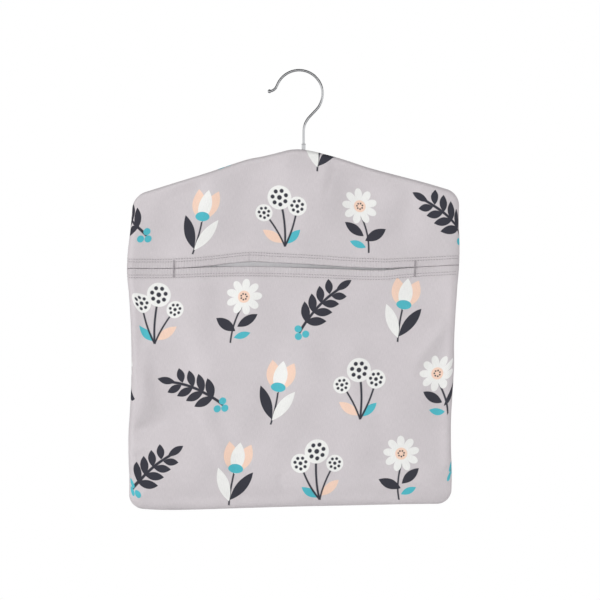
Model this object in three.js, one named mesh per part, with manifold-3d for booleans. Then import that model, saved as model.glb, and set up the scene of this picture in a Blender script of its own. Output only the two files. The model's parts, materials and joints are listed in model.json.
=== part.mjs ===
// A peg bag: a sewn cloth bag with a slit mouth across its front, carried by a short wooden
// hanger inside its shoulders, whose wire hook swivels. Millimetres, +Z up, the front faces -Y.
// The origin is the inside of the hook's crown, where a washing line or rail carries the bag.

import * as THREE from "three";
import { mergeVertices } from "three/addons/utils/BufferGeometryUtils.js";
import Module from "manifold-3d";

const wasm = await Module();
wasm.setup();

// Driving dimensions: the cloth bag
const CLOTH = 1; // wall of one layer, with its print and its slack
const BAG_WIDTH = 327; // across the side seams, at the shoulders
const SIDE_TAPER = 3; // by which each side seam comes in on its way to the bottom
const BAG_HEIGHT = 357; // from the apex of the shoulders to the bottom seam
const BAG_DEPTH = 22; // from the front face to the back face
const EDGE_ROUNDING = 9; // with which both faces roll over to the seam
const SHOULDER_SLOPE = THREE.MathUtils.degToRad(16);
const APEX_RADIUS = 40;
const SHOULDER_RADIUS = 17;
const FOOT_RADIUS = 14;
const HOOK_HOLE = 7; // gap left in the top seam for the hook

// Driving dimensions: the mouth
const MOUTH_DROP = 118; // from the apex down to the mouth's closed line
const TACK_INSET = 44; // of the bar tack at each end of the mouth, from the side seam
const LIP_GAP = 0.4; // between the lips where they lie closed
const LIP_GAPE = 5.5; // how far the upper lip arches up
const GAPE_PEAK = -45; // where it arches most, from the bag's middle
const FLAP_GAP = 0.5; // around the stretch of the front that gives when the mouth opens

// Driving dimensions: hems, seams and threads
const HEM_HEIGHT = 12;
const HEM_THICKNESS = 1.4;
const ROW_RISES = [6.4, 9]; // of the two rows of topstitching, from the lip
const THREAD_WIDTH = 0.8;
const THREAD_THICKNESS = 0.6;
const TACK_WIDTH = 1.8;
const TACK_ROUNDING = 0.6;
const TACK_HEIGHT = 16.4; // across both lips
const SEAM_WIDTH = 9; // of the overlocked seam allowance
const SEAM_THICKNESS = 1.6;
const SEAM_GAP = 0.3; // between the front and the back panel, where the seam thread runs
const SHOULDER_SEAM_DROP = 4; // of the pressed-back shoulder allowance, under the top seam

// Driving dimensions: the wooden hanger
const BAR_LENGTH = 290;
const BAR_HEIGHT = 30; // at the hook
const BAR_THICKNESS = 12;
const BAR_ROUNDING = 3.5;
const BAR_APEX_RADIUS = 30;
const BAR_UNDER_RADIUS = 60;
const TIP_HEIGHT = 20;
const TIP_RADIUS = 9;
const HANGER_SHIFT = 7; // the hanger sits this far to the right of the bag's middle

// Driving dimensions: the hook and what holds it in the bar
const WIRE = 2.5;
const HOOK_DROP = 78.5; // from the line to the apex of the cloth
const LOOP_RADIUS = 23.5; // to the middle of the wire
const SHANK_OFFSET = 4.5; // of the shank, to the right of the crown
const NECK_LEAN = THREE.MathUtils.degToRad(43.5);
const NECK_RADIUS = 22;
const TAIL_ANGLE = THREE.MathUtils.degToRad(155); // where the loop ends, from +X round over the crown
const TAIL_LENGTH = 3.2;
const FLICK_RADIUS = 8;
const FLICK_TURN = THREE.MathUtils.degToRad(60);
const TIP_LENGTH = 0.4;
const BEAD = 3.8; // the rounded end of the wire
const SLEEVE_WALL = 0.5;
const SLEEVE_PROUD = 6; // of the sleeve, above the apex of the cloth
const SLEEVE_DEPTH = 15; // of the sleeve, into the bar
const RUNNING_GAP = 0.25; // around the turning shank
const WASHER_WIDTH = 9;
const WASHER_THICKNESS = 1;
const HEAD_WIDTH = 5.2; // the peened end of the shank
const HEAD_HEIGHT = 1.5;
const POCKET_DEPTH = 5; // of the counterbore under the bar
const SEAT_GAP = 0.3; // between pieces that rest on each other

// Fineness of round stretches
const ARC_STEPS = 4; // half the chords of an outline's corner
const EDGE_STEPS = 4; // chords of a rolled edge
const ROUND_SIDES = 28; // of a turned piece
const WIRE_SIDES = 12;
const WIRE_STEP = 3; // length of one straight stretch of the hook
const LIP_STEP = 8; // length of one straight stretch of a lip
const WELD = 1e-4; // vertices nearer than this are one vertex
const FAR = 1000; // past everything, for cuts

// Materials
const finish = (color, roughness, metalness = 0) =>
  new THREE.MeshStandardMaterial({ color, roughness, metalness });
const printedCloth = finish(0xcdc8cb, 0.9);
const plainCloth = finish(0xdedcdb, 0.95);
const thread = finish(0xb3adb1, 0.8);
const wood = finish(0xcba676, 0.6);
const steel = finish(0xb9bbbe, 0.3, 1);

// Solids: a closed geometry as a solid for cuts and joins, and back again
function solidOf(geometry) {
  const bare = new THREE.BufferGeometry();
  bare.setAttribute("position", geometry.getAttribute("position"));
  bare.setIndex(geometry.index);
  const merged = mergeVertices(bare, WELD);
  const vertProperties = merged.getAttribute("position").array;
  const triVerts = new Uint32Array(merged.index.array);
  return new wasm.Manifold(new wasm.Mesh({ numProp: 3, vertProperties, triVerts }));
}

function geometryOf(solid) {
  const { vertProperties, triVerts } = solid.getMesh();
  const geometry = new THREE.BufferGeometry();
  geometry.setAttribute("position", new THREE.BufferAttribute(vertProperties, 3));
  geometry.setIndex(new THREE.BufferAttribute(triVerts, 1));
  geometry.computeVertexNormals();
  return geometry;
}

function piece(name, shape, material) {
  const geometry = shape.isBufferGeometry ? shape : geometryOf(shape);
  const mesh = new THREE.Mesh(geometry, material);
  mesh.name = name;
  return mesh;
}

// A box between two corners, for keeping one stretch of a solid.
function stretch(lowX, lowY, lowZ, highX, highY, highZ) {
  const box = new THREE.BoxGeometry(highX - lowX, highY - lowY, highZ - lowZ);
  box.translate((lowX + highX) / 2, (lowY + highY) / 2, (lowZ + highZ) / 2);
  return solidOf(box);
}

// A turned piece about +Z, from the radius and height of each corner of its closed profile.
function turned(profile) {
  const corners = profile.map(([radius, height]) => new THREE.Vector2(radius, height));
  const geometry = new THREE.LatheGeometry([...corners, corners[0]], ROUND_SIDES);
  return geometry.rotateX(Math.PI / 2);
}

function ring(innerWidth, outerWidth, low, high) {
  return turned([
    [innerWidth / 2, low],
    [outerWidth / 2, low],
    [outerWidth / 2, high],
    [innerWidth / 2, high],
  ]);
}

function rod(width, low, high) {
  const geometry = new THREE.CylinderGeometry(width / 2, width / 2, high - low, ROUND_SIDES);
  return geometry.rotateX(Math.PI / 2).translate(0, 0, (low + high) / 2);
}

// Outlines are drawn in the XZ plane. Their corners run anticlockwise, each with its radius.
const corner = (x, z, radius) => ({ at: new THREE.Vector2(x, z), radius });

function heading(from, to) {
  return to.at.clone().sub(from.at).normalize();
}

function outline(corners) {
  const shape = new THREE.Shape();
  corners.forEach((here, i) => {
    const arriving = heading(corners.at(i - 1), here);
    const leaving = heading(here, corners[(i + 1) % corners.length]);
    const turn = Math.atan2(arriving.cross(leaving), arriving.dot(leaving));
    const side = Math.sign(turn);
    const trim = here.radius * Math.tan(Math.abs(turn) / 2);
    const start = here.at.clone().addScaledVector(arriving, -trim);
    const towards = new THREE.Vector2(-arriving.y, arriving.x).multiplyScalar(side);
    const centre = start.clone().addScaledVector(towards, here.radius);
    const from = Math.atan2(-towards.y, -towards.x);
    shape.absarc(centre.x, centre.y, here.radius, from, from + turn, side < 0);
  });
  return shape.closePath();
}

// The same corners moved inwards by an even margin, with their arcs on the same centres.
function inset(corners, margin) {
  return corners.map((here, i) => {
    const arriving = heading(corners.at(i - 1), here);
    const leaving = heading(here, corners[(i + 1) % corners.length]);
    const normals = new THREE.Vector2(-arriving.y - leaving.y, arriving.x + leaving.x);
    const at = here.at.clone().addScaledVector(normals, margin / (1 + arriving.dot(leaving)));
    return { at, radius: here.radius - margin };
  });
}

// A slab of an outline, centred on the XZ plane, whose edges roll over on both faces.
function slab(shape, depth, rounding) {
  const flat = depth - 2 * rounding;
  const geometry = new THREE.ExtrudeGeometry(shape, {
    depth: flat,
    bevelThickness: rounding,
    bevelSize: rounding,
    bevelOffset: -rounding,
    bevelSegments: EDGE_STEPS,
    curveSegments: ARC_STEPS,
  });
  return geometry.translate(0, 0, -flat / 2).rotateX(Math.PI / 2);
}

// A plate of an outline, from its front face backwards.
function plate(shape, frontY, thickness) {
  const settings = { depth: thickness, bevelEnabled: false, curveSegments: ARC_STEPS };
  const geometry = new THREE.ExtrudeGeometry(shape, settings);
  return geometry.rotateX(Math.PI / 2).translate(0, frontY + thickness, 0);
}

// The bag's own frame: x from its middle, z from the apex of its shoulders
const slopeRise = Math.tan(SHOULDER_SLOPE);
const peakZ = APEX_RADIUS * (1 / Math.cos(SHOULDER_SLOPE) - 1);
const shoulderZ = peakZ - (BAG_WIDTH / 2) * slopeRise;
const mouthZ = -MOUTH_DROP;
const frontY = -BAG_DEPTH / 2;
const innerDepth = BAG_DEPTH - 2 * CLOTH;
const footHalf = BAG_WIDTH / 2 - SIDE_TAPER;
const bagCorners = [
  corner(0, peakZ, APEX_RADIUS),
  corner(-BAG_WIDTH / 2, shoulderZ, SHOULDER_RADIUS),
  corner(-footHalf, -BAG_HEIGHT, FOOT_RADIUS),
  corner(footHalf, -BAG_HEIGHT, FOOT_RADIUS),
  corner(BAG_WIDTH / 2, shoulderZ, SHOULDER_RADIUS),
];

// The upper lip swells from nothing at each bar tack to its peak, as a cosine does.
const tackX = BAG_WIDTH / 2 - TACK_INSET;

function swell(x) {
  const reach = x < GAPE_PEAK ? GAPE_PEAK + tackX : tackX - GAPE_PEAK;
  const share = Math.min(1, Math.abs(x - GAPE_PEAK) / reach);
  return (1 + Math.cos(Math.PI * share)) / 2;
}

const upperLip = (x) => mouthZ + LIP_GAP / 2 + LIP_GAPE * swell(x);
const lowerLip = () => mouthZ - LIP_GAP / 2;

function lipPoints(lip, fromX, toX, raise) {
  const count = Math.ceil((toX - fromX) / LIP_STEP);
  return Array.from({ length: count + 1 }, (_, i) => {
    const x = fromX + ((toX - fromX) * i) / count;
    return new THREE.Vector2(x, lip(x) + raise);
  });
}

// A band that follows a lip between two heights over it.
function band(lip, fromX, toX, low, high) {
  const lowerEdge = lipPoints(lip, fromX, toX, low);
  const upperEdge = lipPoints(lip, fromX, toX, high).reverse();
  return new THREE.Shape([...lowerEdge, ...upperEdge]);
}

// Cloth: one shell of the bag, parted at the seam, at the mouth, at the hems and around the flap
const flapHalf = tackX - TACK_WIDTH / 2 - FLAP_GAP;
const sideStart = tackX - TACK_WIDTH / 2;
const hemEnd = BAG_WIDTH / 2 - EDGE_ROUNDING - SEAM_WIDTH;

function bagShell() {
  const outside = slab(outline(bagCorners), BAG_DEPTH, EDGE_ROUNDING);
  const inside = slab(outline(inset(bagCorners, CLOTH)), innerDepth, EDGE_ROUNDING - CLOTH);
  const hookHole = rod(HOOK_HOLE, -HOOK_HOLE - BAG_DEPTH, FAR).translate(HANGER_SHIFT, 0, 0);
  return solidOf(outside).subtract(solidOf(inside)).subtract(solidOf(hookHole));
}

const shell = bagShell();
const back = shell.intersect(stretch(-FAR, SEAM_GAP / 2, -FAR, FAR, FAR, FAR));
const front = shell.intersect(stretch(-FAR, -FAR, -FAR, FAR, -SEAM_GAP / 2, FAR));

// A band that follows a lip, between two distances from it into the cloth.
const upper = { lip: upperLip, up: 1 };
const lower = { lip: lowerLip, up: -1 };

function lipBand({ lip, up }, fromX, toX, near, far) {
  return up > 0 ? band(lip, fromX, toX, near, far) : band(lip, fromX, toX, -far, -near);
}

function frontPanel(name, edge, fromX, toX) {
  const shape = lipBand(edge, fromX, toX, HEM_HEIGHT + SEAT_GAP, FAR);
  return piece(name, front.intersect(solidOf(plate(shape, -FAR, 2 * FAR))), printedCloth);
}

function panels() {
  return [
    piece("back_panel", back, printedCloth),
    frontPanel("front_yoke", upper, -BAG_WIDTH, BAG_WIDTH),
    frontPanel("front_left_side", lower, -BAG_WIDTH, -sideStart),
    frontPanel("front_middle", lower, -flapHalf, flapHalf),
    frontPanel("front_right_side", lower, sideStart, BAG_WIDTH),
  ];
}

// Hems: the doubled edges of the lips, turned in, with two rows of topstitching outside
function hem(name, edge, fromX, toX) {
  const outerShape = lipBand(edge, fromX, toX, 0, HEM_HEIGHT);
  const outer = front.intersect(solidOf(plate(outerShape, -FAR, 2 * FAR)));
  const turnFrom = Math.max(fromX, -hemEnd);
  const turnTo = Math.min(toX, hemEnd);
  const turnShape = lipBand(edge, turnFrom, turnTo, 0, HEM_HEIGHT);
  const turn = plate(turnShape, frontY + CLOTH / 2, CLOTH / 2 + HEM_THICKNESS);
  return piece(name, outer.add(solidOf(turn)), printedCloth);
}

function hems() {
  return [
    hem("upper_left_hem", upper, -BAG_WIDTH, GAPE_PEAK - SEAT_GAP / 2),
    hem("upper_right_hem", upper, GAPE_PEAK + SEAT_GAP / 2, BAG_WIDTH),
    hem("lower_left_hem", lower, -BAG_WIDTH, -sideStart),
    hem("lower_middle_hem", lower, -flapHalf, flapHalf),
    hem("lower_right_hem", lower, sideStart, BAG_WIDTH),
  ];
}

function stitchRows(name, edge, fromX, toX) {
  return ROW_RISES.map((rise, i) => {
    const shape = lipBand(edge, fromX, toX, rise - THREAD_WIDTH / 2, rise + THREAD_WIDTH / 2);
    const solid = plate(shape, frontY - SEAT_GAP - THREAD_THICKNESS, THREAD_THICKNESS);
    return piece(`${name}_${i + 1}`, solid, thread);
  });
}

function topstitching() {
  return [
    ...stitchRows("upper_stitch_row", upper, -hemEnd, hemEnd),
    ...stitchRows("lower_left_stitch_row", lower, -hemEnd, -sideStart),
    ...stitchRows("lower_middle_stitch_row", lower, -flapHalf, flapHalf),
    ...stitchRows("lower_right_stitch_row", lower, sideStart, hemEnd),
  ];
}

// A bar tack ties the two lips together at one end of the mouth, on top of the stitch rows.
function barTack(name, side) {
  const halfWidth = TACK_WIDTH / 2;
  const halfHeight = TACK_HEIGHT / 2;
  const shape = outline([
    corner(-halfWidth, mouthZ - halfHeight, TACK_ROUNDING),
    corner(halfWidth, mouthZ - halfHeight, TACK_ROUNDING),
    corner(halfWidth, mouthZ + halfHeight, TACK_ROUNDING),
    corner(-halfWidth, mouthZ + halfHeight, TACK_ROUNDING),
  ]);
  const frontOfRows = frontY - 2 * SEAT_GAP - THREAD_THICKNESS;
  const solid = plate(shape, frontOfRows - THREAD_THICKNESS, THREAD_THICKNESS);
  return piece(name, solid.translate(side * tackX, 0, 0), thread);
}

// Seams: the overlocked allowances inside the bag, standing at the sides and the bottom,
// and pressed back behind the hanger along the shoulders
function seamRing(margin, frontFace) {
  const outer = solidOf(plate(outline(inset(bagCorners, margin)), frontFace, SEAM_THICKNESS));
  const innerOutline = outline(inset(bagCorners, margin + SEAM_WIDTH));
  return outer.subtract(solidOf(plate(innerOutline, -FAR, 2 * FAR)));
}

function seams() {
  const standing = seamRing(CLOTH + SEAT_GAP, -SEAM_THICKNESS / 2);
  const sideFoot = FOOT_RADIUS - BAG_HEIGHT;
  const sideHead = shoulderZ - SHOULDER_RADIUS - TIP_HEIGHT;
  const left = standing.intersect(stretch(-FAR, -FAR, sideFoot, 0, FAR, sideHead));
  const right = standing.intersect(stretch(0, -FAR, sideFoot, FAR, FAR, sideHead));
  const footEnd = footHalf - FOOT_RADIUS;
  const bottom = standing.intersect(stretch(-footEnd, -FAR, -FAR, footEnd, FAR, sideFoot));
  const pressed = seamRing(CLOTH + SHOULDER_SEAM_DROP, BAR_THICKNESS / 2 + SEAT_GAP);
  const shoulderEnd = BAG_WIDTH / 2 - SHOULDER_RADIUS - SEAM_WIDTH;
  const headLeft = [-shoulderEnd, -FAR, shoulderZ - FOOT_RADIUS, HANGER_SHIFT - HOOK_HOLE, FAR, FAR];
  const headRight = [HANGER_SHIFT + HOOK_HOLE, -FAR, shoulderZ - FOOT_RADIUS, shoulderEnd, FAR, FAR];
  return [
    piece("left_side_seam", left, plainCloth),
    piece("right_side_seam", right, plainCloth),
    piece("bottom_seam", bottom, plainCloth),
    piece("left_shoulder_seam", pressed.intersect(stretch(...headLeft)), plainCloth),
    piece("right_shoulder_seam", pressed.intersect(stretch(...headRight)), plainCloth),
  ];
}

// The hanger's own frame: x from the hook's shank, z from where its two slopes meet
const clothOverBar = (CLOTH + 2 * SEAT_GAP) / Math.cos(SHOULDER_SLOPE);
const hangerZ = peakZ - HOOK_DROP - clothOverBar - HANGER_SHIFT * slopeRise;
const pocketZ = POCKET_DEPTH - BAR_HEIGHT;
const sleeveBore = WIRE + 2 * RUNNING_GAP;
const sleeveWidth = sleeveBore + 2 * SLEEVE_WALL;
const washerZ = pocketZ - SEAT_GAP;
const headZ = washerZ - WASHER_THICKNESS - SEAT_GAP;

function hangerBar() {
  const tipZ = (-BAR_LENGTH / 2) * slopeRise;
  const shape = outline([
    corner(0, 0, BAR_APEX_RADIUS),
    corner(-BAR_LENGTH / 2, tipZ, TIP_RADIUS),
    corner(-BAR_LENGTH / 2, tipZ - TIP_HEIGHT, TIP_RADIUS),
    corner(0, -BAR_HEIGHT, BAR_UNDER_RADIUS),
    corner(BAR_LENGTH / 2, tipZ - TIP_HEIGHT, TIP_RADIUS),
    corner(BAR_LENGTH / 2, tipZ, TIP_RADIUS),
  ]);
  const shankHole = solidOf(rod(sleeveBore, -BAR_HEIGHT, BAR_HEIGHT));
  const sleeveHole = solidOf(rod(sleeveWidth + 2 * SEAT_GAP, -SLEEVE_DEPTH - SEAT_GAP, BAR_HEIGHT));
  const pocket = solidOf(rod(WASHER_WIDTH + 2 * SEAT_GAP, -2 * BAR_HEIGHT, pocketZ));
  const blank = solidOf(slab(shape, BAR_THICKNESS, BAR_ROUNDING));
  return piece("hanger_bar", blank.subtract(shankHole).subtract(sleeveHole).subtract(pocket), wood);
}

function hookSleeve() {
  const top = SLEEVE_PROUD - HOOK_DROP - hangerZ;
  return piece("hook_sleeve", ring(sleeveBore, sleeveWidth, -SLEEVE_DEPTH, top), steel);
}

function hookWasher() {
  const low = washerZ - WASHER_THICKNESS;
  return piece("hook_washer", ring(sleeveBore, WASHER_WIDTH, low, washerZ), steel);
}

// A path drawn in the XZ plane, as a curve that a section can follow.
class UprightPath extends THREE.Curve {
  constructor(path) {
    super();
    this.path = path;
  }

  getPoint(t, target = new THREE.Vector3()) {
    const { x, y } = this.path.getPoint(t);
    return target.set(x, 0, y);
  }
}

// The hook's middle line: up the shank, over the neck, round the loop and out to the flicked tip.
function hookLine(shankFoot) {
  const loopZ = WIRE / 2 - LOOP_RADIUS;
  const loopStart = new THREE.Vector2(
    LOOP_RADIUS * Math.cos(NECK_LEAN),
    loopZ - LOOP_RADIUS * Math.sin(NECK_LEAN),
  );
  const neckEndX = SHANK_OFFSET + NECK_RADIUS * (1 - Math.cos(NECK_LEAN));
  const neckEndZ = loopStart.y - (loopStart.x - neckEndX) / Math.tan(NECK_LEAN);
  const neckZ = neckEndZ - NECK_RADIUS * Math.sin(NECK_LEAN);
  const tailWay = TAIL_ANGLE + Math.PI / 2;
  const tailX = LOOP_RADIUS * Math.cos(TAIL_ANGLE) + TAIL_LENGTH * Math.cos(tailWay);
  const tailZ = loopZ + LOOP_RADIUS * Math.sin(TAIL_ANGLE) + TAIL_LENGTH * Math.sin(tailWay);
  const flickX = tailX + FLICK_RADIUS * Math.cos(TAIL_ANGLE);
  const flickZ = tailZ + FLICK_RADIUS * Math.sin(TAIL_ANGLE);
  const flickEnd = TAIL_ANGLE + Math.PI - FLICK_TURN;
  const tipWay = tailWay - FLICK_TURN;
  const tip = new THREE.Vector2(
    flickX + FLICK_RADIUS * Math.cos(flickEnd) + TIP_LENGTH * Math.cos(tipWay),
    flickZ + FLICK_RADIUS * Math.sin(flickEnd) + TIP_LENGTH * Math.sin(tipWay),
  );
  const path = new THREE.Path();
  path.moveTo(SHANK_OFFSET, shankFoot);
  path.lineTo(SHANK_OFFSET, neckZ);
  path.absarc(SHANK_OFFSET + NECK_RADIUS, neckZ, NECK_RADIUS, Math.PI, Math.PI - NECK_LEAN, true);
  path.absarc(0, loopZ, LOOP_RADIUS, -NECK_LEAN, TAIL_ANGLE, false);
  path.lineTo(tailX, tailZ);
  path.absarc(flickX, flickZ, FLICK_RADIUS, TAIL_ANGLE + Math.PI, flickEnd, true);
  path.lineTo(tip.x, tip.y);
  return { path, tip };
}

function hook() {
  const shankFoot = hangerZ + headZ - HEAD_HEIGHT / 2;
  const { path, tip } = hookLine(shankFoot);
  const section = new THREE.Shape().absarc(0, 0, WIRE / 2, 0, 2 * Math.PI, false);
  const wire = new THREE.ExtrudeGeometry(section, {
    steps: Math.ceil(path.getLength() / WIRE_STEP),
    curveSegments: WIRE_SIDES / 2,
    extrudePath: new UprightPath(path),
  });
  const bead = new THREE.SphereGeometry(BEAD / 2, WIRE_SIDES, WIRE_SIDES / 2).translate(tip.x, 0, tip.y);
  const head = rod(HEAD_WIDTH, headZ - HEAD_HEIGHT, headZ).translate(SHANK_OFFSET, 0, hangerZ);
  return piece("hook", solidOf(wire).add(solidOf(bead)).add(solidOf(head)), steel);
}

// Assembly
const bag = new THREE.Group();
bag.position.set(SHANK_OFFSET - HANGER_SHIFT, 0, -HOOK_DROP);
bag.add(...panels(), ...hems(), ...topstitching(), ...seams());
bag.add(barTack("left_bar_tack", -1), barTack("right_bar_tack", 1));

const hanger = new THREE.Group();
hanger.position.set(SHANK_OFFSET, 0, hangerZ);
hanger.add(hangerBar(), hookSleeve(), hookWasher());

const pegBag = new THREE.Group();
pegBag.add(bag, hanger, hook());

export default pegBag;
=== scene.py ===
import json
import math
from types import SimpleNamespace

import bpy
import numpy as np
from bpy.props import FloatProperty, FloatVectorProperty, PointerProperty
from bpy.types import Operator, Panel, PropertyGroup
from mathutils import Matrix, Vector

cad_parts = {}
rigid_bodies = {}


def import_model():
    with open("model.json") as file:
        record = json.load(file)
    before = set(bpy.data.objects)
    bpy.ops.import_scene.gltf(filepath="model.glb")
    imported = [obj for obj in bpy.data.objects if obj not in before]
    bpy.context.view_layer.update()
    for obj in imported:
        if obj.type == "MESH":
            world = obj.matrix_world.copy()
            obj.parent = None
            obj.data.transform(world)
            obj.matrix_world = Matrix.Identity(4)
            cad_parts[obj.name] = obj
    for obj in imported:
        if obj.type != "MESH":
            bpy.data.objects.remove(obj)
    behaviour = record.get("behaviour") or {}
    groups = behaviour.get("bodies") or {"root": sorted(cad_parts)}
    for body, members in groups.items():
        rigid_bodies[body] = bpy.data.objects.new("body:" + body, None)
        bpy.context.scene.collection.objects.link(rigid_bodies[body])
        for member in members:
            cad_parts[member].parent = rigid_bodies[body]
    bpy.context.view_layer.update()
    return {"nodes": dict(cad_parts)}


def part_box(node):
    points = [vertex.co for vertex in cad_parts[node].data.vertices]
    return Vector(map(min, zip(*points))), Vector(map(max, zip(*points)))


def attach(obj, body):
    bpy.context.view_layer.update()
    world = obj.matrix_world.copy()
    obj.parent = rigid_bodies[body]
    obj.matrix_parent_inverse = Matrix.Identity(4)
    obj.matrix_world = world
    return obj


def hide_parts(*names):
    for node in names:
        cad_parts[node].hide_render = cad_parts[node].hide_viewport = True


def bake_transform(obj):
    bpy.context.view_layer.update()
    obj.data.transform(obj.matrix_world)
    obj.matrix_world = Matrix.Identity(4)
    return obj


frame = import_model()

bl_info = {
    "name": "Peg Bag",
    "version": (1, 0, 0),
    "blender": (4, 5, 0),
    "location": "View3D > Sidebar > Peg Bag",
    "description": "Builds a hanging cloth peg bag with its stitching, hanger hook and studio",
    "category": "Add Mesh",
}

MILLIMETRE = 0.001
FRONT, BACK = -1, 1
SIDES = {"left": -1, "right": 1}


def frame_box(node):
    """Lowest and highest corner of a node of the frame, in millimetres."""
    return [np.array(corner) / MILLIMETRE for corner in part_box(node)]


# Places of the frame that the cloth and the wire start from, in millimetres
BACK_LOW, BACK_HIGH = frame_box("back_panel")
TACK_LOW, TACK_HIGH = frame_box("right_bar_tack")
SLEEVE_LOW, SLEEVE_HIGH = frame_box("hook_sleeve")
SLEEVE_MIDDLE = (SLEEVE_HIGH[0] + SLEEVE_LOW[0]) / 2
SLEEVE_RADIUS = (SLEEVE_HIGH[0] - SLEEVE_LOW[0]) / 2
MOUTH = frame_box("lower_middle_hem")[1][2]
HOOK_FOOT = frame_box("hook")[0][2]
BAG_MIDDLE = (BACK_LOW[0] + BACK_HIGH[0]) / 2
BAG_APEX = BACK_HIGH[2]


# Settings

def length(name, millimetres, description):
    """A length whose default is given in millimetres."""
    return FloatProperty(
        name=name, description=description, default=millimetres * MILLIMETRE,
        unit="LENGTH", precision=4,
    )


def angle(name, degrees, description):
    """An angle whose default is given in degrees."""
    return FloatProperty(
        name=name, description=description, default=math.radians(degrees), unit="ROTATION",
    )


def tint(name, red, green, blue, description):
    """A colour whose default is given in sRGB steps from 0 to 255."""
    steps = np.array((red, green, blue)) / 255
    linear = np.where(steps > 0.04045, ((steps + 0.055) / 1.055) ** 2.4, steps / 12.92)
    return FloatVectorProperty(
        name=name, description=description, subtype="COLOR", size=3, min=0, max=1,
        default=tuple(float(part) for part in linear),
    )


def lamp(name, watts, description):
    """The power of a lamp."""
    return FloatProperty(name=name, description=description, default=watts, unit="POWER")


def share_of_light(name, value, description):
    """A brightness, where 1 is white."""
    return FloatProperty(
        name=name, description=description, default=value, subtype="FACTOR", min=0, max=1,
    )


class PegBagCloth(PropertyGroup):
    """Sizes of the sewn bag and of the way it hangs."""
    width: length("Width", 327, "Across the side seams, at the shoulders")
    taper: length("Taper", 3, "By which each side comes in on its way down")
    height: length("Height", BACK_HIGH[2] - BACK_LOW[2], "From the apex to the bottom seam")
    depth: length("Depth", 2 * BACK_HIGH[1], "From the front to the back")
    shoulder_slope: angle("Shoulder slope", 16, "Fall of the shoulders")
    apex_radius: length("Apex radius", 40, "Rounding of the top, around the hook")
    shoulder_radius: length("Shoulder radius", 17, "Rounding of the shoulders")
    foot_radius: length("Foot radius", 14, "Rounding of the lower corners")
    roll: length("Roll", 6.5, "Width of the band in which a face rolls over to the seam")
    head_roll: length("Head roll", 4.4, "Width of that band along the shoulders")
    foot_roll: length("Foot roll", 22, "Extra width of that band along the bottom of the front")
    thickness: length("Cloth", 0.7, "Thickness of the canvas")
    seam_gap: length("Seam gap", 0.45, "Between the front and the back along the seam")
    mouth_drop: length("Mouth drop", BACK_HIGH[2] - MOUTH, "From the apex to the mouth")
    hem: length("Hem", 12, "Height of the turned hems of the mouth")
    fold: length("Fold", 0.55, "Radius at which a hem turns over")
    arch_place: length("Arch place", -46, "From the middle to the top of the upper lip's arch")
    hollow: length("Hollow", 6, "By which the back hangs in behind the mouth")
    slack: length("Slack", 0.9, "Height of the soft waves in the cloth")
    flap_half: length("Flap half", 22, "Half width of the front that moves fully with the mouth")


class PegBagThread(PropertyGroup):
    """Sizes of the topstitching and of the bar tacks."""
    stitch: length("Stitch", 2.45, "Length of one topstitch")
    pitch: length("Pitch", 2.65, "From one topstitch to the next")
    thickness: length("Thread", 0.55, "Thickness of the thread")
    row_1: length("First row", 6.4, "From the lip to the first row")
    row_2: length("Second row", 9.0, "From the lip to the second row")
    tack_place: length("Tack place", (TACK_LOW[0] + TACK_HIGH[0]) / 2 - BAG_MIDDLE,
                       "From the middle to each bar tack")
    tack_width: length("Tack width", 1.5, "Length of the stitches across a bar tack")
    tack_above: length("Tack above", 7.6, "Reach of a bar tack over the mouth")
    tack_below: length("Tack below", 8.8, "Reach of a bar tack under the mouth")


class PegBagHook(PropertyGroup):
    """Sizes of the wire hook and of its sleeve."""
    wire: length("Wire", 2.5, "Thickness of the wire")
    loop_radius: length("Loop radius", 23.5, "Of the loop, to the middle of the wire")
    shank_place: length("Shank place", 4.5, "From the middle of the loop to the shank")
    neck_lean: angle("Neck lean", 43.5, "Of the neck under the loop")
    neck_radius: length("Neck radius", 22, "Bend from the shank into the neck")
    tail_angle: angle("Tail angle", 155, "Where the loop ends")
    tail_length: length("Tail length", 3.2, "Straight wire after the loop")
    flick_radius: length("Flick radius", 8, "Bend of the flicked-out tip")
    flick_turn: angle("Flick turn", 60, "Turn of the flicked-out tip")
    tip_length: length("Tip length", 0.4, "Straight wire before the bead")
    bead: length("Bead", 3.8, "Diameter of the rounded end")
    head: length("Head", 5.2, "Diameter of the peened end under the hanger")
    head_height: length("Head height", 1.5, "Of the peened end")
    bore_gap: length("Bore gap", 0.25, "Between the shank and the sleeve")
    rim: length("Rim", 0.3, "Radius of the rolled rim of the sleeve")


class PegBagFinish(PropertyGroup):
    """Colours of the cloth, its print, the thread, the steel and the wood."""
    ground: tint("Ground", 206, 200, 203, "Ground of the printed cloth")
    reverse: tint("Reverse", 244, 242, 245, "Unprinted side of the cloth")
    dark: tint("Charcoal", 62, 62, 70, "Dark ink of the print")
    pale: tint("White", 236, 236, 234, "White ink of the print")
    teal: tint("Teal", 86, 184, 197, "Teal ink of the print")
    peach: tint("Peach", 241, 209, 190, "Peach ink of the print")
    thread: tint("Thread", 160, 154, 158, "Sewing thread")
    tack: tint("Tack", 168, 162, 166, "Dense thread of the bar tacks")
    steel: tint("Steel", 210, 211, 213, "Plated wire")
    wood: tint("Wood", 206, 166, 118, "Light stripes of the hanger's grain")
    grain: tint("Grain", 168, 124, 80, "Dark stripes of the hanger's grain")
    repeat_width: length("Repeat width", 82, "Of one motif of the print with its ground")
    repeat_height: length("Repeat height", 80, "Of one motif of the print with its ground")


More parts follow.
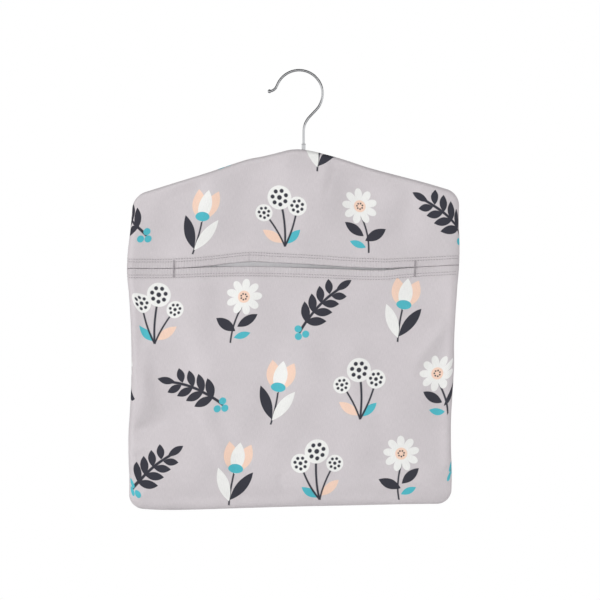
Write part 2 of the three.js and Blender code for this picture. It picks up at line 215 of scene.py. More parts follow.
class PegBagStudio(PropertyGroup):
    """Backdrop, light and framing."""
    backdrop: tint("Backdrop", 255, 255, 255, "Colour behind the bag")
    floor: tint("Floor", 226, 226, 226, "Colour of the floor")
    floor_glow: share_of_light("Floor glow", 0.6, "Added to the floor as it is seen")
    upper_card: tint("Upper card", 40, 40, 42, "Colour over the bag, which the steel reflects")
    lower_card: tint("Lower card", 130, 130, 132, "Colour under the bag, which the steel reflects")
    sky: share_of_light("Sky", 0.23, "Even light from all sides")
    front: lamp("Front", 14.3, "Soft light at the camera")
    left: lamp("Left", 22, "Light that grazes the cloth")
    right: lamp("Right", 12, "Light on the other edge")
    rear: lamp("Rear", 20, "Light on the back")
    view_width: length("View width", 600, "Width of the picture at the bag")
    view_x: length("View x", 0.9, "Middle of the picture")
    view_z: length("View z", -228.55, "Middle of the picture")
    floor_drop: length("Floor drop", 1200, "From the top of the hook down to the floor")
    upper_card_rise: length("Upper card rise", 700, "From the top of the hook up to that card")
    lower_card_drop: length("Lower card drop", 700, "From the top of the hook down to that card")


def measures(group):
    """The group's values as plain numbers, lengths in millimetres, colours with an alpha of 1."""
    values = {}
    for key in group.__annotations__:
        value = getattr(group, key)
        kind = group.bl_rna.properties[key]
        if kind.unit == "LENGTH":
            value = value / MILLIMETRE
        elif kind.is_array:
            value = (*value, 1)
        values[key] = value
    return SimpleNamespace(**values)


def settings(context, *names):
    """The named groups of the scene's settings as plain numbers."""
    return [measures(getattr(context.scene, f"peg_bag_{name}")) for name in names]


# Curves and meshes
SHARP_TURN = math.radians(40)


def smooth(share):
    """Smoothstep: 0 below 0, 1 above 1, and level at both ends."""
    share = np.clip(share, 0, 1)
    return share * share * (3 - 2 * share)


def swell(distance, reach):
    """Half a cosine wave: 1 at no distance, falling to 0 at the reach and beyond it."""
    return (1 + np.cos(np.pi * np.clip(np.abs(distance) / reach, 0, 1))) / 2


def eased(count):
    """Numbers from 0 to 1, close together at 0 as the cosine goes."""
    return 1 - np.cos(np.linspace(0, np.pi / 2, count))


def turns(sides):
    """Angles at even steps once around."""
    return np.linspace(0, 2 * np.pi, sides, endpoint=False)


def unit(vectors):
    """The vectors along the last axis, brought to a length of 1."""
    return vectors / np.linalg.norm(vectors, axis=-1, keepdims=True)


def arc(centre, radius, start, end, count):
    """Points on a circle in the x-z plane, at even steps of angle from start to end."""
    step = np.linspace(start, end, count)
    return np.stack([centre[0] + radius * np.cos(step), centre[1] + radius * np.sin(step)], -1)


def along(line, stations, values=None):
    """Points at the given lengths along a polyline, or else the values given at its points, read
    there: each coordinate by straight interpolation."""
    run = np.concatenate([[0], np.cumsum(np.linalg.norm(np.diff(line, axis=0), axis=1))])
    read = line if values is None else values
    return np.stack([np.interp(stations, run, coordinate) for coordinate in read.T], -1)


def run_length(line):
    """Length of a polyline."""
    return np.linalg.norm(np.diff(line, axis=0), axis=1).sum()


def curve(knots, at):
    """A smooth curve through knots: cubic between neighbours, with the slope at each knot taken from
    the knots beside it, and level beyond both ends."""
    places, values = np.array(knots, float).T
    slopes = np.gradient(values, places)
    first = np.clip(np.searchsorted(places, at) - 1, 0, len(places) - 2)
    step = places[first + 1] - places[first]
    share = np.clip((at - places[first]) / step, 0, 1)
    rest = 1 - share
    return (rest**2 * ((1 + 2 * share) * values[first] + share * step * slopes[first])
            + share**2 * ((1 + 2 * rest) * values[first + 1] - rest * step * slopes[first + 1]))


def grid_faces(rows, columns, wrap=False):
    """Quads between neighbouring points of a grid, the last column joined to the first if wrap."""
    index = np.arange(rows * columns).reshape(rows, columns)
    right = np.roll(index, -1, axis=1)
    count = columns if wrap else columns - 1
    quads = np.stack([index[:-1], right[:-1], right[1:], index[1:]], -1)[:, :count]
    return quads.reshape(-1, 4)


def surface_normals(points):
    """Unit normals of a grid: the cross product of its steps along columns and along rows."""
    return unit(np.cross(np.gradient(points, axis=1), np.gradient(points, axis=0)))


def mesh_piece(name, points, faces, material, normals=None):
    """A smooth mesh object from points in millimetres and arrays of faces of one size each."""
    corners = np.concatenate([part.ravel() for part in faces])
    sizes = np.concatenate([np.full(len(part), part.shape[1]) for part in faces])
    mesh = bpy.data.meshes.new(name)
    mesh.vertices.add(len(points))
    mesh.vertices.foreach_set("co", (points * MILLIMETRE).astype(np.float32).ravel())
    mesh.loops.add(len(corners))
    mesh.loops.foreach_set("vertex_index", corners.astype(np.int32))
    mesh.polygons.add(len(sizes))
    starts = np.concatenate([[0], np.cumsum(sizes)[:-1]])
    mesh.polygons.foreach_set("loop_start", starts.astype(np.int32))
    mesh.update(calc_edges=True)
    if mesh.validate():
        raise RuntimeError(f"{name}: the mesh has broken faces")
    mesh.shade_smooth()
    if normals is not None:
        mesh.normals_split_custom_set_from_vertices(normals)
    mesh.materials.append(material)
    piece = bpy.data.objects.new(name, mesh)
    bpy.context.scene.collection.objects.link(piece)
    return piece


def tube(name, line, radii, across, sides, material):
    """A round tube along a line: at each of its points a circle of the given radius starts at the
    vector across, which is square to the line, and a flat face closes each end."""
    across = np.broadcast_to(across, line.shape)[:, None]
    upward = np.cross(unit(np.gradient(line, axis=0))[:, None], across)
    step = turns(sides)[None, :, None]
    around = np.cos(step) * across + np.sin(step) * upward
    points = (line[:, None] + radii[:, None, None] * around).reshape(-1, 3)
    first = np.arange(sides)[None, ::-1]
    last = np.arange(len(points) - sides, len(points))[None]
    return mesh_piece(name, points, [grid_faces(len(line), sides, True), first, last], material)


def lathe(name, profile, axis_x, sides, material):
    """A closed profile of radius and height turned once around an upright axis, with sharp edges
    where it turns by more than the sharp turn."""
    step = turns(sides)
    radius, height = profile[:, 0][:, None], profile[:, 1][:, None]
    points = np.stack([
        axis_x + radius * np.cos(step), radius * np.sin(step), height + 0 * step,
    ], -1)
    closed = np.concatenate([points, points[:1]])
    faces = grid_faces(len(closed), sides, True) % (len(profile) * sides)
    piece = mesh_piece(name, points.reshape(-1, 3), [faces], material)
    piece.data.set_sharp_from_angle(angle=SHARP_TURN)
    return piece


# Outline of the flat bag, in millimetres from the apex of the cloth
CORNER_POINTS = 48


def bag_corners(cloth):
    """The corners of the flat bag, clockwise from the peak, each with its rounding, and the unit
    vectors from it to its neighbours."""
    peak = cloth.apex_radius * (1 / math.cos(cloth.shoulder_slope) - 1)
    half, foot = cloth.width / 2, cloth.width / 2 - cloth.taper
    shoulder = peak - half * math.tan(cloth.shoulder_slope)
    places = np.array([
        (0, peak), (half, shoulder), (foot, -cloth.height), (-foot, -cloth.height),
        (-half, shoulder),
    ])
    radii = np.array([
        cloth.apex_radius, cloth.shoulder_radius, cloth.foot_radius, cloth.foot_radius,
        cloth.shoulder_radius,
    ])
    to_last = unit(np.roll(places, 1, axis=0) - places)
    to_next = unit(np.roll(places, -1, axis=0) - places)
    return places, radii, to_last, to_next


def corner_arcs(cloth):
    """For each corner the centre of its rounding and the points where the arc meets the sides:
    the centre lies on the bisector, at the radius over the sine of half the corner's angle."""
    places, radii, to_last, to_next = bag_corners(cloth)
    half_angle = np.arccos((to_last * to_next).sum(-1)) / 2
    reach = (radii / np.tan(half_angle))[:, None]
    centres = places + unit(to_last + to_next) * (radii / np.sin(half_angle))[:, None]
    return centres, places + to_last * reach, places + to_next * reach


def shoulder_height(cloth):
    """Height of the two shoulder corners."""
    return bag_corners(cloth)[0][1, 1]


def half_width(cloth, z):
    """Half the width of the flat bag: a straight line from the shoulders to the foot."""
    shoulder = shoulder_height(cloth)
    return cloth.width / 2 - cloth.taper * (shoulder - z) / (shoulder + cloth.height)


def chain(cloth, order):
    """Share of the half width and height along the rounded corners named by their order."""
    centres, starts, ends = corner_arcs(cloth)
    radii = bag_corners(cloth)[1]
    parts = []
    for k in order:
        first, last = starts[k] - centres[k], ends[k] - centres[k]
        begin = math.atan2(first[1], first[0])
        turn = math.atan2(first[0] * last[1] - first[1] * last[0], first @ last)
        parts.append(arc(centres[k], radii[k], begin, begin + turn, CORNER_POINTS))
    points = np.concatenate(parts)
    return points[:, 0] / half_width(cloth, points[:, 1]), points[:, 1]


def top_edge(cloth, share):
    """Height of the top seam at a share of the half width: left shoulder, apex, right shoulder."""
    return np.interp(share, *chain(cloth, (4, 0, 1)))


def bottom_edge(cloth, share):
    """Height of the bottom seam at a share of the half width, rounded at both feet."""
    places, heights = chain(cloth, (2, 3))
    return np.interp(share, places[::-1], heights[::-1])


def edge_distance(cloth, x, z):
    """Distance from the outline, inwards: the least distance from its five sides, and in the
    sector of a rounded corner its radius less the distance from the corner's centre."""
    places, radii, _, to_next = bag_corners(cloth)
    point = np.stack([x, z], -1)
    sides = [
        (point - place) @ np.array([way[1], -way[0]]) for place, way in zip(places, to_next)
    ]
    distance = np.min(sides, axis=0)
    for centre, start, end, radius in zip(*corner_arcs(cloth), radii):
        shares = (point - centre) @ np.linalg.inv(np.array([start - centre, end - centre]))
        in_sector = (shares >= 0).all(-1)
        from_centre = np.linalg.norm(point - centre, axis=-1)
        distance = np.where(in_sector, radius - from_centre, distance)
    return np.clip(distance, 0, None)


# How the sewn bag hangs off its flat shape, in millimetres: a place along an edge, the shift there
LEFT_HANG = (
    (-357, -7.0), (-326, -6.1), (-312, -6.5), (-285, -6.5), (-258, -4.6), (-225, -3.0), (-190, -2.8),
    (-145, -4.6), (-122, -6.4), (-105, -5.7), (-80, -2.6), (-60, -0.7), (-45, 0.2), (0, 0.2),
)
MIDDLE_HANG = ((-357, -6.2), (-290, -6.4), (-200, -3.7), (-118, -1.7), (-50, 0.0), (0, 0.0))
RIGHT_HANG = (
    (-357, -6.5), (-328, -6.0), (-300, -7.1), (-270, -7.3), (-245, -6.1), (-215, -4.8), (-195, -5.0),
    (-170, -4.2), (-140, -2.5), (-115, -0.7), (-92, -0.6), (-75, -1.4), (-50, -1.2), (0, -0.8),
)
TOP_HANG = (
    (-164, -1.0), (-120, 0.1), (-90, 0.7), (-65, 2.0), (-48, 2.5), (-34, 1.2), (-15, 0.4), (3, 0.3),
    (20, 1.5), (42, 1.9), (72, 0.8), (100, 1.3), (130, 2.1), (164, 2.0),
)
BOTTOM_HANG = (
    (-164, -0.2), (-150, -1.2), (-138, -2.1), (-122, -2.6), (-96, -2.2), (-60, -1.1), (0, 0.7),
    (60, 2.0), (130, 3.4), (164, 3.6),
)
UPPER_LIP = (
    (-164, -0.5), (-119, -0.3), (-85, 2.0), (-63, 4.7), (-46, 6.2), (-24, 5.3), (6, 3.9), (29, 2.5),
    (52, 0.8), (74, -0.1), (91, -0.5), (106, 0.3), (119, 0.8), (164, 3.1),
)
LOWER_LIP = (
    (-164, -0.5), (-119, -0.4), (-85, 0.9), (-46, 1.4), (6, 0.3), (29, -0.5), (52, -1.4), (74, -2.2),
    (91, -2.1), (106, -0.5), (119, 0.6), (164, 3.1),
)

# Where the curve of an edge starts to count, and the way over which it comes to count fully
SIDE_HANG_START, SIDE_HANG_WAY = 105, 58
TOP_HANG_START, TOP_HANG_WAY = -104, 60
BOTTOM_HANG_START, BOTTOM_HANG_WAY = -135, 200

# Creases: from x, z to x, z, half width and height, in millimetres
FRONT_CREASES = (
    (32, -13, 23, -42, 3.4, 1.1),
    (38, -14, 29, -46, 3.0, -1.2),
    (-80, -18, -84, -70, 13.0, 2.8),
    (100, -48, 66, -108, 12.0, 1.8),
    (-168, -283, -128, -268, 5.0, -2.4),
    (-168, -292, -120, -300, 7.0, 2.2),
    (-85, -262, -64, -312, 8.0, 2.4),
    (-112, -186, -104, -232, 16.0, -2.4),
    (-150, -200, -146, -250, 10.0, 2.4),
    (150, -178, 128, -208, 7.0, 2.4),
    (158, -196, 132, -222, 8.0, -2.2),
    (-10, -328, -3, -358, 3.0, -1.3),
    (-30, -150, 8, -232, 26.0, 3.0),
    (40, -172, 130, -176, 10.0, -2.0),
    (110, -250, 70, -300, 20.0, 2.6),
    (-110, -343, 0, -346, 12.0, -2.0),
)
BACK_CREASES = (
    (-60, -60, 40, -150, 16.0, -0.8),
    (150, -180, 110, -230, 9.0, -0.9),
    (-158, -250, -120, -280, 9.0, -0.8),
    (-20, -200, 10, -330, 22.0, 1.2),
)

# Soft waves: how many, the seed that the face is added to, their lengths in millimetres, how much
# the height counts beside the width, and by how much of the slack they sink in
WAVE_COUNT = 20
WAVE_SEED = 37
SHORT_WAVE, LONG_WAVE = 28, 120
WAVE_UPRIGHT = 0.6
WAVE_SINK = 1.0

# Other changes of the form, in millimetres: starts are heights, ways and reaches are distances
LOOSE_LIMIT = 3.2
HANGER_START, HANGER_WAY = -110, 40
HANGER_HOLD = 0.5
HEAD_START, HEAD_WAY = -62, 20
FOOT_RISE, FOOT_WAY = 45, 30
SEAM_HOLD = 14
PUCKER_HEIGHT, PUCKER_START, PUCKER_REACH = 0.18, 1.5, 3.5
PUCKER_TURN, PUCKER_DRIFT, DRIFT_TURN = 0.55, 2, 0.06
HOLLOW_REACH_X, HOLLOW_REACH_Z = 95, 80
FLARE, FLARE_REACH_X, FLARE_REACH_Z = 0.6, 90, 12
EYELET_REACH = 7


def creases(lines, x, z):
    """Sum of soft ridges, each a bell curve of the distance from its line."""
    total = np.zeros_like(x)
    for x0, z0, x1, z1, reach, height in lines:
        way = np.array([x1 - x0, z1 - z0])
        share = np.clip(((x - x0) * way[0] + (z - z0) * way[1]) / (way @ way), 0, 1)
        from_line = np.hypot(x - x0 - share * way[0], z - z0 - share * way[1])
        total += height * np.exp(-((from_line / reach) ** 2))
    return total


def slack_waves(seed, x, z):
    """Sum of sine waves of seeded direction, length and phase, for cloth that isn't taut. Each is as
    high as its share of the longest wave."""
    draw = np.random.default_rng(seed)
    total = np.zeros_like(x)
    for _ in range(WAVE_COUNT):
        way, phase = draw.uniform(0, 2 * np.pi, 2)
        wave = draw.uniform(SHORT_WAVE, LONG_WAVE)
        run = x * np.cos(way) + WAVE_UPRIGHT * z * np.sin(way)
        total += wave / LONG_WAVE * np.sin(2 * np.pi * run / wave + phase)
    return total


def looseness(cloth, face, x, z):
    """Creases and soft waves of one face, held under a limit by a hyperbolic tangent. The hanger
    draws the head of the back taut."""
    lines = FRONT_CREASES if face == FRONT else BACK_CREASES
    waves = cloth.slack * (slack_waves(WAVE_SEED + face, x, z) - WAVE_SINK)
    loose = LOOSE_LIMIT * np.tanh((creases(lines, x, z) + waves) / LOOSE_LIMIT)
    if face == BACK:
        loose *= 1 - HANGER_HOLD * smooth((z - HANGER_START) / HANGER_WAY)
    return loose


def puckers(x, z, inwards):
    """Short sine waves along the seam, of uneven length, which die away exponentially inwards."""
    phase = PUCKER_TURN * (x - z) + PUCKER_DRIFT * np.sin(DRIFT_TURN * (x + z))
    return PUCKER_HEIGHT * np.exp(-inwards / PUCKER_REACH) * np.sin(phase)


def hang(x, z):
    """Where a point of the flat bag hangs: sideways by the curve of the middle, near a side by that
    side's own curve, and upwards by the curves of the top and bottom seams, which fade out towards
    the mouth."""
    middle = curve(MIDDLE_HANG, z)
    left = smooth((-x - SIDE_HANG_START) / SIDE_HANG_WAY) * (curve(LEFT_HANG, z) - middle)
    right = smooth((x - SIDE_HANG_START) / SIDE_HANG_WAY) * (curve(RIGHT_HANG, z) - middle)
    top = smooth((z - TOP_HANG_START) / TOP_HANG_WAY) * curve(TOP_HANG, x)
    bottom = smooth((BOTTOM_HANG_START - z) / BOTTOM_HANG_WAY) * curve(BOTTOM_HANG, x)
    return x + middle + left + right, z + top + bottom


def hung_points(x, y, z):
    """Points of the flat bag where they hang, in the shared frame."""
    hung_x, hung_z = hang(x, z)
    return np.stack([hung_x + BAG_MIDDLE, y, hung_z + BAG_APEX], -1)


def face_points(cloth, share, z, face, lip_rise=None):
    """Middle of the cloth of one face of the bag, in the shared frame. Across, it is a share of
    the half width. From the seam inwards the face rolls up as a quarter ellipse to half the depth,
    with creases, soft waves, puckers along the seam, and lips that stand a little proud. The back
    hangs in behind the mouth, and the top seam opens around the hook's sleeve."""
    x = share * half_width(cloth, z)
    inwards = edge_distance(cloth, x, z)
    reach = cloth.roll + (cloth.head_roll - cloth.roll) * smooth((z - HEAD_START) / HEAD_WAY)
    seam = cloth.seam_gap / 2
    if face == FRONT:
        foot = smooth((FOOT_RISE - z - cloth.height) / FOOT_WAY)
        reach = reach + cloth.foot_roll * foot
        seam = seam + cloth.seam_gap / 2 * foot
    roll = np.sqrt(1 - (1 - np.clip(inwards / reach, 0, 1)) ** 2)
    rise = seam + (cloth.depth / 2 - cloth.thickness / 2 - seam) * roll
    free = smooth(inwards / SEAM_HOLD)
    loose = free * looseness(cloth, face, x, z)
    rise += loose + smooth(inwards / PUCKER_START) * puckers(x, z, inwards)
    from_arch = x - cloth.arch_place
    if face == BACK:
        from_mouth = z + cloth.mouth_drop
        rise -= cloth.hollow * swell(from_arch, HOLLOW_REACH_X) * swell(from_mouth, HOLLOW_REACH_Z)
    if lip_rise is not None:
        rise += free * (FLARE * swell(from_arch, FLARE_REACH_X) * np.exp(-lip_rise / FLARE_REACH_Z))
    from_sleeve = x + BAG_MIDDLE - SLEEVE_MIDDLE
    eyelet = (SLEEVE_RADIUS + cloth.thickness) * swell(from_sleeve, EYELET_REACH)
    rise = np.where(z > -cloth.apex_radius, np.maximum(rise, eyelet), rise)
    return hung_points(x, face * rise, z)


# Grids of the panels: numbers of columns and rows
SIDE_COLUMNS, MIDDLE_COLUMNS = 14, 141
EDGE_ROWS, HEM_ROWS, FOLD_ROWS = 13, 8, 10
LOWER_ROWS, YOKE_ROWS, BACK_ROWS = 92, 44, 140

# Grooves that the topstitching pulls in, gap that the lips keep, and way over which the gathers
# fade out, in millimetres
GROOVE_DEPTH, GROOVE_WIDTH = 0.34, 0.6
GROOVE_STEPS = (-0.9, -0.45, 0, 0.45, 0.9)
GROOVE_MARGIN = 2
LIP_GAP = 0.15
GATHER_WAY = 3

# Where each panel lies on the print, in millimetres
BACK_PRINT = (30, 12)
YOKE_PRINT = (14, 60.5)
LOWER_PRINT = (96, 160.5)


def columns(cloth):
    """Shares of the half width from -1 to 1, close together near the sides."""
    near = eased(SIDE_COLUMNS) * cloth.shoulder_radius * 2 / cloth.width
    middle = np.linspace(near[-1] - 1, 1 - near[-1], MIDDLE_COLUMNS)
    return np.concatenate([near[:-1] - 1, middle, (1 - near[:-1])[::-1]])


def column_places(cloth):
    """Distances of the columns from the middle of the bag, at the shoulders."""
    return columns(cloth) * cloth.width / 2


def edge_steps(reach):
    """Distances from a seam, close together at the seam."""
    return eased(EDGE_ROWS) * reach


def filled(first, last, count):
    """Rows of two bands with even rows between them."""
    share = np.linspace(0, 1, count)[1:-1, None]
    return np.concatenate([first, first[-1] + share * (last[0] - first[-1]), last])


def lip_edge(cloth, share, lip):
    """Height of a lip's edge: the mouth line, moved up by the curve of that lip."""
    return curve(lip, share * cloth.width / 2) - cloth.mouth_drop


def fold_reach(cloth):
    """From the last row of a panel to the outermost edge of its folded hem."""
    return cloth.fold + cloth.thickness / 2


def stitch_rises(cloth, thread):
    """Distances from the last row of a panel to its two rows of topstitching."""
    return np.array([thread.row_1, thread.row_2]) - fold_reach(cloth)


def hem_rises(cloth, thread):
    """Distances from the lip at which a hem has rows, close together around the stitching."""
    near = (stitch_rises(cloth, thread)[:, None] + GROOVE_STEPS).ravel()
    return np.unique(np.round(np.concatenate([np.linspace(0, cloth.hem, HEM_ROWS), near]), 3))


def sewn_rows(cloth, thread):
    """Numbers of the hem's rows that carry the topstitching, counted from the lip."""
    rises = hem_rises(cloth, thread)
    return [int(np.argmin(np.abs(rises - rise))) for rise in stitch_rises(cloth, thread)]


def hemmed(cloth, thread, points, rise):
    """A panel that ends at its lip, with the grooves that the topstitching pulls in, and beyond the
    lip the fold, half a circle, and the turned-in hem, which lies behind the panel."""
    normal = surface_normals(points)
    from_rows = (rise[..., None] - stitch_rises(cloth, thread)) / GROOVE_WIDTH
    groove = np.exp(-(from_rows**2)).sum(-1) * (rise < cloth.hem + GROOVE_MARGIN)
    points = points - GROOVE_DEPTH * groove[..., None] * normal
    onward = unit(points[-1] - points[-2])
    turn = np.linspace(0, np.pi, FOLD_ROWS)[1:-1, None, None]
    fold = points[-1] + cloth.fold * (np.sin(turn) * onward - (1 - np.cos(turn)) * normal[-1])
    count = len(hem_rises(cloth, thread))
    behind = (points - 2 * cloth.fold * normal)[-count:][::-1]
    return np.concatenate([points, fold, behind])


def lower_front(cloth, thread):
    """Rows of the lower front from the bottom seam to the lip and over its hem, and the rows that
    carry the topstitching."""
    share = columns(cloth)
    lip = lip_edge(cloth, share, LOWER_LIP) - fold_reach(cloth) - LIP_GAP
    bottom = bottom_edge(cloth, share) + edge_steps(cloth.foot_radius)[:, None]
    z = filled(bottom, lip - hem_rises(cloth, thread)[::-1, None], LOWER_ROWS)
    points = face_points(cloth, share[None], z, FRONT, lip - z)
    sewn = [len(z) - 1 - row for row in sewn_rows(cloth, thread)]
    return hemmed(cloth, thread, points, lip - z), sewn


def front_yoke(cloth, thread):
    """Rows of the yoke from its turned-in hem over the lip to the top seam, and the rows that
    carry the topstitching."""
    share = columns(cloth)
    lip = lip_edge(cloth, share, UPPER_LIP) + fold_reach(cloth) + LIP_GAP
    top = top_edge(cloth, share) - edge_steps(cloth.roll)[:, None]
    z = filled(top, lip + hem_rises(cloth, thread)[::-1, None], YOKE_ROWS)
    points = face_points(cloth, share[None], z, FRONT, z - lip)[:, ::-1]
    rows = hemmed(cloth, thread, points, (z - lip)[:, ::-1])[::-1, ::-1]
    sewn = [len(rows) - len(z) + row for row in sewn_rows(cloth, thread)]
    return rows, sewn


def back_face(cloth):
    """Rows of the back from the bottom seam to the top seam, its columns from right to left so
    that its outside is the right side of the cloth."""
    share = columns(cloth)[::-1]
    bottom = bottom_edge(cloth, share) + edge_steps(cloth.foot_radius)[:, None]
    top = top_edge(cloth, share) - edge_steps(cloth.roll)[::-1, None]
    return face_points(cloth, share[None], filled(bottom, top, BACK_ROWS), BACK)


def flat_map(points, start):
    """Where each point lies on the flat cloth: lengths along its row from the middle column and
    along its column from the first row, moved by the place where the print starts."""
    step_u = np.linalg.norm(np.diff(points, axis=1), axis=-1)
    step_v = np.linalg.norm(np.diff(points, axis=0), axis=-1)
    u = np.concatenate([np.zeros((len(points), 1)), np.cumsum(step_u, axis=1)], 1)
    v = np.concatenate([np.zeros((1, points.shape[1])), np.cumsum(step_v, axis=0)], 0)
    return np.stack([u - u[:, u.shape[1] // 2, None] + start[0], v + start[1]], -1)


def hem_gathers(flat, sewn):
    """How much the stitching gathers each row of a panel, which also sets where the cloth gets its
    painted hem shade: fully in the hem, and not at all a little beyond the second sewn row."""
    run = flat[:, flat.shape[1] // 2, 1]
    beyond = (run - run[sewn[1]]) * np.sign(run[sewn[1]] - run[sewn[0]])
    return 1 - smooth(beyond / GATHER_WAY)


def cloth_piece(name, points, normals, flat, thickness, material, gathers=0.0, printed=1.0):
    """A sheet of cloth with thickness: the middle surface moved half the thickness along its normals to
    both sides, and rims that close its four edges. The outer side carries whether it is printed, and
    each row how much its stitching gathers it, which also sets the painted shade of the hems."""
    rows, width = points.shape[:2]
    total = rows * width
    offset = thickness / 2 * normals
    vertices = np.concatenate([(points + offset).reshape(-1, 3), (points - offset).reshape(-1, 3)])
    outer = grid_faces(rows, width)
    index = np.arange(total).reshape(rows, width)
    rims = [index[0, ::-1], index[::-1, -1], index[-1], index[:, 0]]
    sides = [np.stack([rim[:-1], rim[1:], rim[1:] + total, rim[:-1] + total], -1) for rim in rims]
    shading = np.concatenate([normals.reshape(-1, 3), -normals.reshape(-1, 3)])
    faces = [outer, outer[:, ::-1] + total, *sides]
    piece = mesh_piece(name, vertices, faces, material, shading)
    by_row = np.repeat(gathers + np.zeros(rows), width)
    values = {"printed": np.repeat([printed, 0.0], total), "gathered": np.tile(by_row, 2)}
    for key, value in values.items():
        attribute = piece.data.attributes.new(key, "FLOAT", "POINT")
        attribute.data.foreach_set("value", value.astype(np.float32))
    corner = np.zeros(len(piece.data.loops), np.int32)
    piece.data.loops.foreach_get("vertex_index", corner)
    layer = piece.data.uv_layers.new(name="Flat cloth")
    layer.uv.foreach_set("vector", flat.reshape(-1, 2)[corner % total].astype(np.float32).ravel())
    return piece


# Materials

class Wiring:
    """Adds nodes to a node tree and hands back the output that is used."""

    def __init__(self, tree):
        self.tree = tree

    def put(self, value, socket):
        """Links an output to a socket, or sets the socket to a value other than None."""
        if isinstance(value, bpy.types.NodeSocket):
            self.tree.links.new(value, socket)
        elif value is not None:
            socket.default_value = value

    def add(self, kind, *inputs, output=0, **options):
        """A node with its options, its inputs given in order as outputs, values or None."""
        node = self.tree.nodes.new(kind)
        for key, value in options.items():
            setattr(node, key, value)
        for socket, value in zip(node.inputs, inputs):
            self.put(value, socket)
        return node.outputs[output]

    def objects(self):
        """Place in the object's own coordinates, in metres."""
        return self.add("ShaderNodeTexCoord", output="Object")

    def maths(self, operation, *inputs):
        """One sum on one to three numbers."""
        return self.add("ShaderNodeMath", *inputs, operation=operation)

    def split(self, vector):
        """The x and y of a vector."""
        x = self.add("ShaderNodeSeparateXYZ", vector)
        return x, x.node.outputs["Y"]

    def ramp(self, value, low, high, start=0.0, end=1.0):
        """Start below low, end above high, and a straight line between them."""
        return self.add("ShaderNodeMapRange", value, low, high, start, end)

    def mix(self, share, first, second, blend="MIX"):
        """Two colours mixed by a share. The node's five sockets for other kinds stay unused."""
        unused = [None] * 5
        return self.add("ShaderNodeMix", share, *unused, first, second, output=2,
                        data_type="RGBA", blend_type=blend)

    def noise(self, vector, scale, detail, roughness=0.5):
        """Plain noise from 0 to 1."""
        return self.add("ShaderNodeTexNoise", vector, None, scale, detail, roughness)

    def stretched(self, vector, x, y, z):
        """A place with its coordinates multiplied, so that a pattern on it is drawn out."""
        return self.add("ShaderNodeMapping", vector, None, None, (x, y, z))

    def toned(self, colour, tone):
        """A colour made lighter or darker by a number."""
        grey = self.add("ShaderNodeCombineColor", tone, tone, tone)
        return self.mix(1.0, colour, grey, "MULTIPLY")

    def bump(self, height, strength, distance):
        """A normal that follows a height, over a distance in metres."""
        node = self.tree.nodes.new("ShaderNodeBump")
        for key, value in {"Strength": strength, "Distance": distance, "Height": height}.items():
            self.put(value, node.inputs[key])
        return node.outputs[0]

    def join(self, principled, **sockets):
        """Links outputs to the shader's inputs of those names, or sets them to values."""
        for key, output in sockets.items():
            self.put(output, principled.inputs[key.replace("_", " ")])


def shader(name, **constants):
    """A new material, its wiring and its shader, with constants set on the shader's sockets."""
    material = bpy.data.materials.new(name)
    material.use_nodes = True
    wires = Wiring(material.node_tree)
    principled = material.node_tree.nodes["Principled BSDF"]
    wires.join(principled, **constants)
    return material, wires, principled


# Forms of the print, each in its own unit square, with the share of it that a form's parts take
PETAL_CORE, PETAL_SWING, PETAL_FULLNESS = 0.48, 0.52, 0.55
SPOT_RING, SPOT_RADIUS = 0.58, 0.17
STEM_HALF = 0.045


def radius_of(wires, x, y):
    """Distance from the middle."""
    return wires.maths("SQRT", wires.maths("MULTIPLY_ADD", x, x, wires.maths("MULTIPLY", y, y)))


def leaf(wires, x, y, _):
    """Inside where the distance across is less than one less the square of that along."""
    edge = wires.maths("MULTIPLY_ADD", wires.maths("MULTIPLY", x, -1.0), x, 1.0)
    return wires.maths("SUBTRACT", edge, wires.maths("ABSOLUTE", y))


def disc(wires, x, y, _):
    """Inside where the distance from the middle is less than one."""
    return wires.maths("SUBTRACT", 1.0, radius_of(wires, x, y))


def petals(wires, x, y, count):
    """Inside a radius that swings with the cosine of the angle, once for each petal."""
    around = wires.maths("MULTIPLY", wires.maths("ARCTAN2", y, x), count / 2)
    lobe = wires.maths("ABSOLUTE", wires.maths("COSINE", around))
    full = wires.maths("POWER", lobe, PETAL_FULLNESS)
    reach = wires.maths("MULTIPLY_ADD", full, PETAL_SWING, PETAL_CORE)
    return wires.maths("SUBTRACT", reach, radius_of(wires, x, y))


def spots(wires, x, y, count):
    """Inside small circles that stand evenly on a ring, found by folding the angle."""
    turn = 2 * math.pi / count
    folded = wires.maths("WRAP", wires.maths("ARCTAN2", y, x), turn / 2, -turn / 2)
    radius = radius_of(wires, x, y)
    out = wires.maths("MULTIPLY", radius, wires.maths("COSINE", folded))
    side = wires.maths("MULTIPLY", radius, wires.maths("SINE", folded))
    from_spot = radius_of(wires, wires.maths("SUBTRACT", out, SPOT_RING), side)
    return wires.maths("SUBTRACT", SPOT_RADIUS, from_spot)


def stem(wires, x, y, bend):
    """Inside a thin band around a parabola, over its own length only."""
    bow = wires.maths("MULTIPLY_ADD", wires.maths("MULTIPLY", x, -bend), x, bend)
    from_bow = wires.maths("ABSOLUTE", wires.maths("SUBTRACT", y, bow))
    band = wires.maths("SUBTRACT", STEM_HALF, from_bow)
    return wires.maths("MINIMUM", band, wires.maths("SUBTRACT", 1.0, wires.maths("ABSOLUTE", x)))


# Motifs of the print. Each mark is a form, its ink, place, turn, half sizes and extra number, in
# millimetres and degrees.

def daisy():
    """A white daisy on a leafy stem."""
    return [
        (stem, "dark", (0, -12), 80, (20, 20), 0.12),
        (leaf, "dark", (-11, -14), 152, (12, 5.0), 0),
        (leaf, "dark", (10, -8), 38, (11.5, 4.6), 0),
        (leaf, "teal", (7, -23), 22, (8.5, 3.4), 0),
        (petals, "pale", (3, 15), 8, (18, 18), 9),
        (disc, "peach", (3, 15), 0, (6, 6), 0),
        (spots, "dark", (3, 15), 10, (5, 5), 7),
    ]


